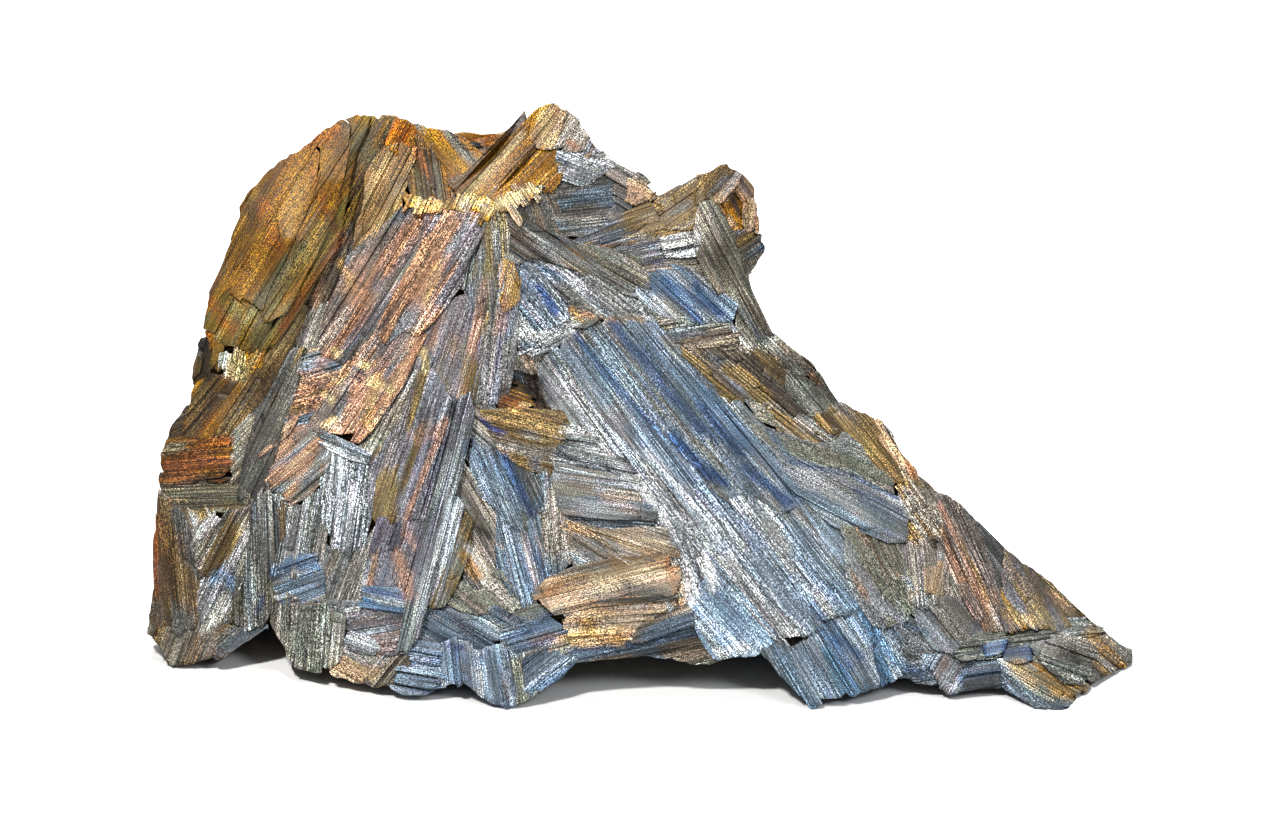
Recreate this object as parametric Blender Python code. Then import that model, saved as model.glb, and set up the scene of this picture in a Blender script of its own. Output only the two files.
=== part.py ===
"""Kyanite blade cluster: bladed crystals grown together into one mass, standing on the face it was broken off at.

Metres, +Z up, +X to the right of someone facing the best side, origin under the middle of the bounding box.
The best side is laid out as a drawing: every blade face is an outline in drawing units on a sheet seen from a
fixed eye point, and each outline is set back by a depth in millimetres.  LIFT brings a face forward.
"""
import math
import random

import bmesh
import bpy
import numpy as np
from mathutils import Vector

MM = 0.001
UNIT = 150.0 / 985.0            # millimetres to one drawing unit at depth 0
MID_U, MID_V = 640.0, 406.5     # middle of the drawing
EYE = 750.0                     # mm from the eye to the sheet
TILT = math.radians(20.0)       # the eye looks down by this much
SHEET_Z = 35.4                  # height of the middle of the sheet above the base
SHIFT = (0.161, -0.056)              # mm, brings the middle of the bounding box over the origin
SLACK = 1.6                     # drawing units, corners flatter than this are left out
FACE_DEPTH = 7.0                # mm, how far a blade face reaches back into the mass
GROW = 1.6                      # drawing units added round each outline, so that neighbours bite into each other
CORE_BACK = 2.6                 # mm, the inner mass stays this far behind the blade faces
GROUND_GAP = 0.05               # mm
SMALLEST = 500.0                # square drawing units, faces smaller than this are left to the surface finish

# outline of the whole best side, clockwise from the left foot
OUTLINE = """147,633 152,592 153,540 157,505 161,455 170,430 187,405 192,385 196,355 201,330 212,288 228,248 241,204
257,180 279,162 303,147 325,128 356,114 397,116 422,125 450,133 502,134 526,110 553,103 578,118 591,139 613,160 641,172
657,186 655,200 685,181 728,163 754,185 760,232 765,248 747,282 776,335 812,361 840,401 884,423 901,451 934,490
962,504 1009,551 1044,576 1093,623 1130,651 1133,664 1093,684 1070,710 1036,710 1003,686 954,695 903,678 854,697
811,709 762,655 701,665 641,656 577,664 543,692 504,710 463,685 420,698 345,680 291,666 281,643 266,628 223,660
171,667"""

# depth of the best side behind the sheet: drawing u, v and millimetres, nearer is negative
FRONT = """171,665,-5.5 223,660,-7 266,624,-5 290,664,-10 345,679,-14 400,694,-17 450,684,-17 504,708,-20 560,672,-18
606,660,-16 641,654,-15.5 701,662,-15.5 760,650,-16.5 811,706,-20 850,692,-18.5 893,676,-16 946,696,-17 1003,685,-15
1060,709,-19.8 1111,672,-8 1133,662,-4 150,620,-1 155,560,1 160,500,2 165,440,3 190,400,4 200,330,5 225,258,6
257,180,7 303,147,8 372,111,8 230,500,-3 250,580,-6 220,420,0 250,330,0 290,240,1 330,180,3 380,130,5 350,220,5
310,320,3.2 270,400,0.5 250,480,-3 380,250,3 340,380,-1 400,300,-1.5 430,220,0.5 360,430,-4 300,440,-2.5 495,212,-4.5
480,300,-7 462,400,-9.5 445,500,-12.5 425,600,-15.5 330,500,-7 300,600,-9.5 380,560,-11 520,300,-5 515,395,-6
540,385,-4 560,325,-3 575,335,-3.5 640,330,-2 600,430,-7 700,430,-7 680,520,-11 760,500,-10 740,600,-15 850,560,-13
800,630,-17.5 860,620,-16 412,125,9 450,135,11 480,140,13 526,112,10 500,180,4 470,195,2.5 553,105,13 590,130,14
575,165,9 611,152,14 657,186,12 600,210,6 565,235,1.5 530,215,1 650,235,5 690,225,7 700,172,11 728,162,12
756,195,14 735,215,11 765,245,13 746,280,10 720,240,6.5 680,260,3 690,290,1 740,320,3.5 776,335,8 720,350,-1
760,380,0.5 812,361,8 840,401,9 800,410,2 884,423,8 860,450,3 830,470,-2 901,451,8 934,490,6 900,500,0.5 870,530,-5
920,570,-5 948,495,5 973,519,5 1009,551,4.5 970,560,-1.5 1000,600,-4.5 1044,576,3.5 1093,623,1 1050,610,-2 940,620,-9.5
1000,640,-11 1060,650,-12.5 1090,660,-9 920,650,-13 1030,680,-17 600,480,-10 560,440,-8 530,520,-11.5 620,560,-13.5
600,620,-15.5 500,600,-15 480,540,-12.5 660,620,-14.5 550,575,-13"""

# depth of the far side behind the sheet
REAR = """160,600,13 200,330,18 257,180,17 372,115,16 450,130,18 553,105,19 657,190,22 728,165,20 765,250,21 812,360,22
901,450,20 1009,551,17 1093,625,11 1130,655,4 171,660,6 300,250,25 500,250,27 700,300,28 250,450,24 400,400,31 600,400,33
750,450,31 900,540,25 400,560,37 600,560,40 800,590,34 1000,630,19 300,600,27 500,660,40 700,660,42 900,660,28"""

# blade faces of the best side: name | lift in mm | outline in drawing units
FACES = """
rust_rim|0.4|200,330 203,315 207,300 212,288 218,275 222,258 228,248 235,232 240,215 241,204 248,192 257,180 262,171 268,165 279,162 288,158 280,178 268,205 258,232 247,258 238,280 226,288 214,300
rust_main|1.0|226,288 238,280 247,258 258,232 268,205 280,178 288,158 283,155 292,148 303,147 309,142 320,150 318,175 308,205 296,232 284,258 268,288 262,312
rust_mid|1.6|309,142 312,135 316,131 325,128 334,126 344,116 352,122 350,140 346,165 340,195 330,222 316,252 300,282 285,312 268,322 262,312 268,288 284,258 296,232 308,205 318,175 320,150
rust_inner|0.8|352,122 344,116 356,114 362,116 368,113 372,111 366,128 356,148 350,172 346,198 342,222 336,246 322,270 306,296 290,322 276,340 262,352 254,348 268,322 285,312 300,282 316,252 330,222 340,195 346,165 350,140
rust_low|0.2|203,315 214,300 226,288 250,300 272,320 264,338 254,350 244,352 225,346 212,336 201,328
rust_crest|-0.6|372,111 384,116 386,111 394,111 397,116 400,119 394,132 384,150 370,166 360,190 352,215 345,235 337,243 342,222 346,198 350,172 356,148 366,128
dark_strip|-1.8|366,166 364,180 365,200 360,228 352,250 345,266 335,292 324,312 312,332 300,346 290,352 294,328 304,306 318,286 327,266 338,242 346,222 352,200 358,178
silver_strip|-1.0|300,318 312,304 334,298 336,312 324,336 314,360 304,376 296,384 292,366 294,342
tan_fan|0.3|300,300 307,306 300,328 290,350 279,372 266,392 252,412 240,428 226,438 214,442 224,420 238,400 246,384 256,362 270,342 286,322
slate_blade|0.8|302,348 302,366 299,382 290,402 283,422 276,450 268,472 262,492 254,502 236,502 240,480 246,455 254,426 266,400 280,374
hollow_left|-4.0|197,338 207,334 216,348 217,370 208,384 196,388 192,378 195,356
crumb_orange|-1.0|203,330 212,336 225,344 224,356 220,372 214,366 214,348
crumb_white|0.2|221,350 242,349 245,376 242,388 228,380 219,366
blade_ochre|0.4|196,384 214,374 230,380 246,386 250,381 240,400 228,416 214,440 192,444 182,442 186,422 191,404 192,394
block_slate|-0.6|180,408 191,404 190,428 184,440 164,442 166,434 170,430 178,420
block_rust|0.8|162,440 184,438 204,440 232,439 234,456 230,474 218,482 200,478 182,484 162,486 160,470 161,455
streak_white|0.2|216,441 232,430 252,414 252,438 246,458 240,478 234,482 230,466 232,442
block_grey|-0.3|160,484 182,482 218,480 240,478 254,488 252,506 236,510 214,510 194,508 172,504 160,494
blade_brown|0.6|158,490 172,502 182,514 192,536 198,562 201,590 199,618 182,634 164,640 148,634 150,613 152,600 154,568 152,540 153,525 156,505
blade_silver|0.6|189,548 198,524 214,510 234,509 224,530 212,554 202,572 194,564
blade_tan|0.9|234,509 250,507 243,530 230,556 212,574 198,578 206,562 220,536
blade_blue|0.2|250,510 252,532 247,562 238,592 227,622 206,632 197,614 199,584 212,572 230,556 243,530
stripe_grey|0.7|238,482 254,500 262,490 267,480 271,500 273,540 273,580 272,608 262,624 246,626 225,622 236,592 246,562 252,532 250,508
stripe_ink|0.2|266,488 276,494 284,510 284,540 277,560 272,578 271,540 268,512
foot_brown|0.0|147,633 152,612 164,626 182,622 199,612 214,622 217,654 210,656 199,658 187,665 176,668 171,667 166,658 162,643 155,637
foot_facet|0.5|212,628 228,620 250,622 264,620 267,628 256,635 248,641 236,652 223,663 216,656
tip_orange|0.4|394,124 400,117 407,117 411,122 416,132 414,150 402,156 390,150 386,144
plate_peach|0.2|368,168 384,150 402,142 414,150 408,182 400,196 402,206 386,226 366,242 350,258 356,232 363,204 364,182
brush_wedge|0.6|410,134 424,139 434,154 446,178 455,196 447,207 430,203 419,206 411,192 406,166
gold_crumbs|0.4|398,194 420,202 446,204 456,196 470,198 487,202 497,208 486,216 470,214 450,208 430,213 404,209
gold_chips|0.3|494,202 510,190 530,187 548,188 534,201 512,211 500,214
copper_a|0.6|348,258 366,242 386,226 406,206 434,211 422,236 404,262 384,290 366,318 350,342 334,360 316,352 326,312 336,292 346,266
copper_b|1.0|434,211 456,206 488,214 481,236 468,255 460,284 447,303 430,324 416,336 404,330 386,344 376,330 390,304 404,280 418,254 426,232
copper_c|0.2|384,292 404,264 422,238 428,242 418,262 404,284 390,306 376,332 360,352 346,366 334,362 350,342 366,318
copper_d|1.2|346,366 360,352 376,332 388,346 406,330 420,322 428,332 417,352 407,376 392,402 374,427 356,446 340,441 322,434 306,426 322,404 336,386
copper_e|0.5|302,362 314,350 332,362 348,368 338,386 324,404 308,426 298,430 282,421 290,402 298,382
plate_grey|0.8|430,326 446,304 458,294 472,288 477,310 470,342 464,372 457,402 442,388 432,374 418,366 417,350
gold_chip|1.4|420,353 427,347 432,358 430,373 422,369
sage_tail|0.0|392,402 404,380 416,354 424,366 414,394 402,422 388,444 372,456 356,450 374,427
steel_line|1.2|314,427 332,434 352,445 374,452 368,463 346,458 318,442
pink_bits|0.3|274,424 290,424 310,429 334,440 330,460 320,482 310,494 290,503 274,494 266,482 274,452
white_patch|0.6|328,446 350,454 368,460 374,482 371,512 364,542 350,553 334,547 324,522 322,490 320,466
tan_stripes|0.2|266,492 286,500 302,504 312,488 324,484 327,520 324,548 320,572 302,582 286,577 271,572 284,542 284,512
blue_patch|0.4|270,566 290,556 312,556 322,568 324,600 302,607 284,602 274,594
fibre_grey|0.0|322,546 336,544 352,551 366,542 382,518 380,546 370,576 362,604 344,604 324,602 318,582
pale_tan|0.3|272,586 302,606 326,602 330,630 326,656 316,668 309,671 300,669 291,666 286,660 284,650 281,643 272,626
panel_olive|0.6|324,612 346,610 344,640 338,662 326,668 316,664 321,634
block_white|1.0|350,632 372,640 378,648 372,654 350,650 343,642
block_mauve|0.5|344,608 362,602 402,608 414,618 407,652 386,654 370,642 350,636 342,630
foot_peach|0.4|328,662 342,646 360,652 386,654 378,670 364,683 345,680 332,675
foot_fibre|0.2|382,656 402,640 414,656 404,670 394,682 376,688 362,684 374,670
mauve_a|0.6|417,364 432,372 444,386 432,416 423,450 413,482 404,518 392,522 378,522 368,512 370,480 372,456 386,442 402,420 412,394
mauve_b|1.2|442,386 458,400 453,430 443,470 434,500 424,522 404,520 400,514 410,480 421,450 431,416
mauve_c|1.8|456,400 470,392 473,420 465,450 458,482 452,502 442,540 428,600 418,636 406,654 398,650 404,622 409,592 420,542 431,502 441,470 450,430
block_dark|1.0|378,520 406,519 404,534 399,550 370,550
block_copper|0.8|370,548 418,546 412,592 402,594 362,590
band_blue|1.2|360,587 402,589 408,600 402,611 358,605
silver_blade|1.6|438,506 456,499 462,511 457,542 447,572 437,602 424,604 430,570 436,542 426,530
tan_sliver|1.0|462,510 472,520 470,546 457,582 443,608 430,608 446,572 456,542
back_olive|0.3|411,122 417,120 422,125 438,123 445,128 450,133 464,139 476,150 484,158 468,176 452,182 442,162 432,148 420,139
back_red|-0.8|448,132 465,132 475,134 487,131 497,130 503,136 502,147 492,152 478,152 464,141
gold_slab|0.8|448,180 466,174 482,158 492,149 502,136 508,128 515,119 526,110 529,122 528,134 536,144 518,165 502,180 490,198 480,204 468,200 456,195
gold_low|0.2|536,144 550,150 564,150 562,172 553,192 530,190 510,192 496,205 488,199 502,180 518,165
dome_gold|0.8|527,121 533,114 540,108 547,105 553,103 560,104 568,109 562,128 552,152 540,149 530,142 526,133
dome_mauve|0.2|566,107 578,118 590,128 592,134 591,140 592,154 576,155 562,152 548,151 560,128
silvery_back|0.0|560,150 576,152 592,150 597,151 611,152 615,156 613,160 606,172 592,186 575,184 560,178
slate_back|-1.0|550,192 559,174 576,182 592,185 603,174 612,180 617,202 607,227 592,237 570,234 558,216
grey_back|-0.2|603,172 613,160 619,165 625,170 632,174 642,176 634,194 628,215 617,228 605,227 616,202 610,182
tan_knob|0.6|630,176 636,172 641,171 652,179 657,186 655,192 648,200 638,206 627,201
slate_tri|-0.4|498,212 514,204 535,197 552,190 560,214 567,236 556,242 540,234 520,223
brown_wedge|0.4|563,233 590,236 606,228 626,214 641,204 654,203 657,215 632,233 612,247 590,250 570,244
peak_plate|0.3|648,200 655,194 662,189 672,184 685,179 700,170 703,190 701,208 692,228 670,228 655,217
peak_tan|0.9|697,172 709,168 718,167 728,162 734,166 740,170 737,186 727,200 712,203 702,203
peak_rim|0.3|739,170 745,176 750,182 754,185 756,192 755,201 744,203 737,192 734,184
peak_hollow|-2.2|711,202 725,198 738,190 747,202 750,226 740,234 727,232 721,216
peak_side|0.5|744,202 755,200 760,213 761,222 759,232 748,234 744,226
peak_bits|0.0|726,233 748,231 759,230 764,233 761,238 765,248 760,258 754,268 746,282 738,272 727,250
spine|0.9|699,200 713,200 723,215 732,235 740,262 745,280 750,291 757,300 765,313 776,335 762,343 750,328 735,303 716,283 702,264 694,240 697,215
band_brown|0.2|634,230 656,215 670,226 694,224 698,240 662,242 622,243 610,247
block_snow|1.0|660,239 690,231 698,240 700,256 666,257 658,246
block_ink|0.4|614,244 640,237 664,238 668,259 642,264 612,257
band_tan|0.2|636,262 668,256 702,255 708,276 690,272 655,274 638,278
apex_spire|1.0|479,214 487,206 495,207 503,211 508,235 507,256 498,280 490,312 475,314 469,292 477,266 484,240
apex_dark|0.2|464,256 478,238 486,240 480,266 471,292 459,288
mauve_run|0.8|459,286 474,306 490,308 483,350 474,404 455,404 462,372 470,342 470,308
ridge_grey|1.0|488,312 497,280 506,254 517,258 519,290 516,330 514,360 509,388 494,404 472,404 482,350
gold_face|1.4|499,262 513,258 519,274 518,300 504,312 500,290
crown_grey|0.6|501,210 515,213 530,222 546,232 576,243 602,252 614,272 610,282 590,274 560,264 536,257 516,262 505,256 504,234
crown_low|0.2|514,259 536,255 562,261 592,270 612,276 642,300 660,322 640,326 620,316 600,321 576,316 562,292 546,277 530,272
pale_tex|0.4|514,262 530,269 547,274 563,290 578,312 562,325 542,338 526,349 513,338 512,310
spot_orange|0.8|566,311 580,304 592,312 600,319 584,328 571,327
white_band|0.6|514,342 542,334 562,322 574,324 584,327 572,337 554,348 532,355 516,353
edge_brown|0.9|552,236 576,243 604,248 640,258 646,276 636,296 622,291 606,277 580,257
plate_blue|0.6|638,275 655,272 690,270 706,274 722,290 738,306 733,320 700,323 680,320 660,315 644,302 636,291
band_spine|0.2|702,260 718,280 737,300 752,325 763,342 753,353 738,348 732,322 736,306 706,276
knot_dark|0.0|656,316 680,317 700,320 734,319 741,348 720,348 700,347 690,355 678,342 664,328
fan_brown|0.6|688,352 700,345 740,344 756,350 778,362 792,385 808,411 792,424 770,408 750,398 730,403 711,392 698,371
fan_low|0.3|766,405 790,420 806,409 818,430 843,429 834,444 802,444 778,428
rim_upper|0.2|758,342 776,335 784,338 793,344 797,351 812,361 818,369 806,378 790,375 775,363 752,352
rim_knobs|0.6|789,373 806,376 818,368 826,379 833,391 840,401 832,412 816,417 804,411 790,390
rim_brown|0.2|803,411 830,411 840,401 855,409 866,412 875,416 883,430 893,455 903,482 890,484 875,468 858,448 840,433 815,433
rim_peach|0.8|874,416 884,423 890,430 896,441 901,451 907,458 912,465 919,478 902,484 892,456 881,431
plate_smooth|0.8|746,397 770,405 780,426 802,442 832,442 842,431 862,446 877,466 892,481 897,499 870,492 840,480 810,467 788,457 764,437 752,420
plate_fold|1.0|772,450 790,458 820,470 850,481 897,498 908,520 908,543 890,543 865,531 850,533 830,523 808,502 788,482
lens_olive|0.4|862,527 880,534 902,545 908,560 911,577 896,580 880,564 866,548
plate_low|0.5|846,530 866,529 870,546 882,561 897,577 910,580 918,602 908,614 892,624 876,629 860,604 849,582 846,556
stripe_pale|0.5|903,540 926,544 942,554 950,580 947,602 926,608 911,602 906,576
blob_tan|1.0|924,568 938,562 948,566 946,590 940,602 926,598 922,584
tan_spark|0.2|900,482 919,477 934,490 950,508 945,540 926,547 904,543 906,520 896,500
copper_wing|0.8|932,489 948,495 955,499 962,504 974,520 984,545 994,575 1004,600 1007,628 985,630 973,607 960,582 949,556 939,540 944,514
slate_wing|0.2|971,518 978,523 985,525 995,537 1003,546 1011,552 1008,566 1006,588 996,592 988,567 979,545
mauve_wing|0.8|1007,551 1020,552 1025,555 1035,566 1044,576 1064,598 1078,611 1093,623 1070,626 1034,629 1018,612 1003,592 1003,570
copper_low|1.0|996,596 1006,590 1020,610 1037,627 1006,631
rim_wing|0.6|1036,568 1044,576 1064,598 1093,623 1113,637 1108,640 1088,630 1066,612 1048,592
plate_pale|0.5|913,606 946,599 966,601 977,609 988,628 973,642 955,653 934,648 920,627
layers|0.8|966,642 984,628 1006,625 1036,622 1086,617 1095,622 1104,634 1076,638 1046,641 1020,648 990,658 962,658 952,652
chip_blue|1.3|984,643 1006,639 1004,651 986,656
chip_blue2|1.2|1003,652 1030,645 1034,659 1016,664 1002,659
plate_wing|0.5|1028,645 1048,639 1076,634 1102,638 1094,664 1084,684 1064,681 1048,668
tip|0.8|1091,622 1103,631 1113,637 1122,645 1130,651 1132,658 1133,664 1124,668 1118,668 1111,675 1098,681 1088,680 1090,662 1098,640
nodules|0.4|998,660 1016,662 1034,657 1050,667 1066,681 1086,683 1090,688 1084,694 1078,700 1075,703 1070,710 1045,707 1028,696 1010,681
keel|1.0|998,668 1012,679 1030,694 1047,704 1070,706 1070,710 1036,710 1024,700 1013,693 1003,686
hem_dark|0.2|900,658 926,657 940,682 936,685 920,682 907,680 902,672
hem_silver|0.9|922,653 944,656 966,664 963,682 956,693 946,698 940,690 934,676
hem_right|0.4|956,660 985,657 1002,660 1006,686 1003,687 983,694 954,695 956,684
hem_fibre|0.2|888,622 908,608 922,625 938,645 966,650 986,655 956,662 926,658 902,655 893,641
fan_a|0.2|538,372 550,350 562,344 577,370 592,395 612,420 632,440 652,460 642,482 620,460 600,442 575,430 560,414 546,400
fan_b|0.8|558,347 569,331 580,329 592,350 612,380 632,405 657,435 682,460 702,480 690,498 668,482 648,462 628,442 608,422 588,397 573,372
fan_c|1.2|577,331 590,324 602,321 617,345 642,375 662,400 682,425 702,445 727,470 748,496 730,503 698,482 678,462 653,437 628,407 608,382 588,352
fan_d|0.8|599,323 612,315 627,319 647,345 672,370 697,400 722,430 747,455 767,480 793,506 775,518 744,498 723,472 698,447 678,427 658,402 638,377 613,347
fan_e|0.4|623,321 640,321 658,322 670,338 692,365 714,390 737,420 762,445 787,475 808,501 790,509 763,482 743,457 718,432 693,402 668,372 643,347
fan_f|0.6|636,480 650,458 672,480 693,496 713,520 738,545 763,575 783,600 803,625 803,638 790,645 778,640 758,622 738,597 713,567 688,537 658,502
fan_g|1.0|696,482 730,499 747,494 778,515 793,540 818,570 843,600 852,612 830,623 803,638 797,627 777,602 757,577 732,547 707,522 686,497
fan_h|0.7|772,517 790,505 808,499 820,505 834,520 851,545 854,580 862,602 852,613 838,602 813,572 788,542
plate_glit|0.6|703,545 717,565 742,595 762,620 777,638 762,646 745,653 722,658 710,653 698,636 688,611 694,600 705,594 706,574
rough_white|0.0|684,532 706,546 709,576 703,594 690,602 678,582 672,560 678,545
hem_a|0.6|761,653 774,641 790,646 806,640 822,670 842,696 834,699 823,703 811,709 801,700 791,690 782,680 774,671
hem_b|0.9|803,640 830,621 852,611 872,640 874,665 880,684 866,695 854,697 845,691 838,693 820,671
hem_c|0.4|848,612 864,605 882,634 897,623 905,640 905,672 893,678 884,686 876,690 872,666 869,641
floor_a|0.3|398,652 412,640 442,645 439,662 443,687 437,688 428,693 420,698 410,698 400,696 394,688 388,682 402,668 412,655
floor_b|0.6|439,646 455,639 477,650 487,675 495,700 484,698 475,690 463,685 451,684 441,688 437,662
floor_c|0.8|474,651 500,645 527,660 532,690 544,692 532,700 522,705 513,709 504,710 494,706 484,699 490,696 484,675
floor_d|0.5|523,660 545,650 567,657 582,662 573,668 563,674 553,684 543,692 530,697
agg_a|0.0|408,645 420,612 440,605 465,609 500,609 512,615 508,640 475,653 455,643 440,648
agg_b|0.3|506,617 535,604 552,618 567,625 573,642 567,660 545,653 525,662 503,648
rough_peach|0.4|562,612 600,600 640,597 674,599 664,614 642,626 628,642 600,648 575,651 568,640 562,626
band_low|0.5|570,650 600,646 628,640 652,638 692,629 704,640 716,655 727,660 714,663 701,665 686,661 665,656 641,655 625,657 606,661 592,663 577,664 563,660
block_low|0.2|636,628 660,611 690,603 698,620 704,638 690,634 650,644 624,645
nodule|0.2|602,661 622,657 643,654 642,663 632,667 622,671 614,669
hem_tan|-0.2|686,646 712,654 745,652 762,644 763,655 758,652 742,656 727,660 714,664 701,665 684,660
crevice_rust|-2.0|498,392 520,383 532,392 536,407 516,414 500,410
hollow_mid|-3.5|512,366 525,358 537,370 548,390 553,408 540,414 531,404 530,392 519,384
plate_brown|0.8|490,413 516,411 540,411 564,411 571,425 564,446 554,462 550,473 525,468 507,457 495,441 490,425
plate_spot|0.2|463,402 492,398 498,412 494,425 499,441 490,453 474,448 468,426
blade_ink|0.5|468,446 490,449 498,441 510,455 527,465 548,473 547,491 537,512 526,531 511,521 498,511 484,501 470,480
stripe_tan|0.3|544,473 553,459 560,480 564,510 572,540 575,560 562,573 550,578 544,556 539,530 534,513 544,490
fibre_blue|0.2|498,510 512,519 526,527 536,511 542,530 547,555 553,577 542,592 534,602 520,609 511,591 498,571 496,545
knob_grey|-0.2|460,452 470,445 474,480 487,499 501,509 500,545 502,570 490,587 474,592 463,582 467,545 469,520 456,507 454,480
low_sage|0.0|474,592 490,584 500,569 513,589 522,609 510,614 500,612 480,614 465,612 448,604 453,585 463,580
band_rough|0.6|561,412 577,428 600,440 620,456 642,480 645,494 610,478 580,473 560,465 551,461 561,445 567,426
lens_beige|0.8|551,461 580,470 610,475 642,489 654,500 646,518 610,518 580,515 562,513 556,482
streak_ink|0.2|560,512 580,511 610,514 645,514 658,520 642,532 610,534 585,528 562,522
wedge_stripe|0.6|560,520 585,524 612,540 632,559 610,565 590,570 573,573 568,546
tan_orange|0.4|582,526 610,531 640,529 667,529 674,552 652,560 628,563 608,542
white_run|0.4|638,480 650,486 662,500 692,535 682,548 676,562 664,547 656,524 646,500
grey_run|0.0|653,520 672,545 682,578 694,600 670,604 676,580 664,556
fill_umber|-0.4|176,500 196,506 216,506 206,530 194,544 186,526
fill_purple|0.8|402,514 428,512 424,532 421,552 399,552
fill_notch|-2.0|514,346 534,352 552,344 544,368 530,376 512,372
fill_slope|0.3|720,398 734,400 750,398 756,420 770,436 790,458 786,468 764,448 740,424
fill_wing|0.2|932,542 944,540 954,562 970,602 948,604 942,576
fill_ledge|0.0|306,598 352,602 360,604 348,612 322,614
fill_ochre|0.2|243,349 264,350 262,364 250,384 244,382
fill_slate|0.2|293,350 303,350 280,384 262,418 252,430 250,412 268,384
fill_rough|-0.2|664,600 704,592 694,608 672,614 660,616
fill_seam|0.2|640,300 652,306 676,336 698,366 694,372 668,342
block_peach|0.8|536,594 550,578 575,568 610,560 652,556 672,549 681,575 675,600 640,600 600,603 568,611 553,620 544,606
"""


def place(u, v, depth):
    """A point of the drawing at this depth, in millimetres."""
    spread = UNIT * (1.0 + depth / EYE)
    across, up = (u - MID_U) * spread, (MID_V - v) * spread
    return Vector((
        across + SHIFT[0],
        up * math.sin(TILT) + depth * math.cos(TILT) + SHIFT[1],
        SHEET_Z + up * math.cos(TILT) - depth * math.sin(TILT),
    ))


def ground_depth(u, v):
    """The depth at which the line of sight through this point meets the ground."""
    a = (MID_V - v) * UNIT * math.cos(TILT)
    return (SHEET_Z + a - GROUND_GAP) / (math.sin(TILT) - a / EYE)


class Relief:
    """A surface of cones through typed depths, so it bends at them and runs straight between them."""

    def __init__(self, text):
        rows = np.array([[float(n) for n in row.split(",")] for row in text.split()])
        self.at = rows[:, :2]
        gap = np.linalg.norm(self.at[:, None] - self.at[None], axis=2)
        self.mean = rows[:, 2].mean()
        self.weight = np.linalg.solve(gap + np.eye(len(rows)) * 1e-6, rows[:, 2] - self.mean)

    def __call__(self, u, v):
        return float(np.hypot(self.at[:, 0] - u, self.at[:, 1] - v) @ self.weight) + self.mean


def points_of(text):
    return [tuple(float(n) for n in pair.split(",")) for pair in text.split()]


def area_of(points):
    return 0.5 * sum(a[0] * b[1] - b[0] * a[1] for a, b in zip(points, points[1:] + points[:1]))


def plainer(points, slack):
    """The outline without the corners that stand off the line between their neighbours by less than slack."""
    points = list(points)
    while len(points) > 4:
        count = len(points)
        best = None
        for i in range(count):
            a, b, c = points[i - 1], points[i], points[(i + 1) % count]
            side = math.hypot(c[0] - a[0], c[1] - a[1])
            off = abs((c[0] - a[0]) * (b[1] - a[1]) - (c[1] - a[1]) * (b[0] - a[0])) / max(side, 1e-6)
            if best is None or off < best[0]:
                best = (off, i)
        if best[0] >= slack:
            break
        points.pop(best[1])
    return points


def grown(points, by):
    """The outline with every corner moved out by this many units, square to its two sides."""
    if area_of(points) < 0:
        points = points[::-1]
    made = []
    count = len(points)
    for i in range(count):
        before, here, after = points[i - 1], points[i], points[(i + 1) % count]
        first = Vector((here[0] - before[0], here[1] - before[1])).normalized()
        second = Vector((after[0] - here[0], after[1] - here[1])).normalized()
        normal = Vector((first.y, -first.x)) + Vector((second.y, -second.x))
        if normal.length < 0.3:
            normal = Vector((first.y, -first.x))
        normal.normalize()
        made.append((here[0] + normal.x * by, here[1] + normal.y * by))
    return made


def fitted(points, relief, limit):
    """Depths of the flat face that best follows the relief over this outline."""
    rows = np.array([[u, v, 1.0] for u, v in points])
    depths = np.array([min(relief(u, v), ground_depth(u, v) + limit) for u, v in points])
    plane = np.linalg.lstsq(rows, depths, rcond=None)[0]
    return rows @ plane


def new_object(name, bm, material=None, helper=None):
    mesh = bpy.data.meshes.new(name)
    bmesh.ops.recalc_face_normals(bm, faces=bm.faces[:])
    bmesh.ops.scale(bm, vec=(MM, MM, MM), verts=bm.verts[:])
    bm.to_mesh(mesh)
    bm.free()
    obj = bpy.data.objects.new(name, mesh)
    if material:
        mesh.materials.append(material)
    (helper or PARTS).objects.link(obj)
    if helper:
        obj.hide_render = True
        obj.display_type = "WIRE"
    return obj


def blade(name, points, depths, back, square=0.0):
    """A flat outline drawn out along the line of sight, or by a share of square along its own normal.

    back is how far, in mm, and may be negative."""
    bm = bmesh.new()
    base = bm.faces.new([bm.verts.new(place(u, v, d)) for (u, v), d in zip(points, depths)])
    base.normal_update()
    sight = Vector((0, math.cos(TILT), -math.sin(TILT)))
    normal = base.normal if base.normal.dot(sight) > 0 else -base.normal
    way = sight.lerp(normal, square).normalized()
    grown_part = bmesh.ops.extrude_face_region(bm, geom=[base])
    fresh = [e for e in grown_part["geom"] if isinstance(e, bmesh.types.BMVert)]
    bmesh.ops.translate(bm, vec=way * back, verts=fresh)
    return new_object(name, bm, helper=BLADES)


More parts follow.
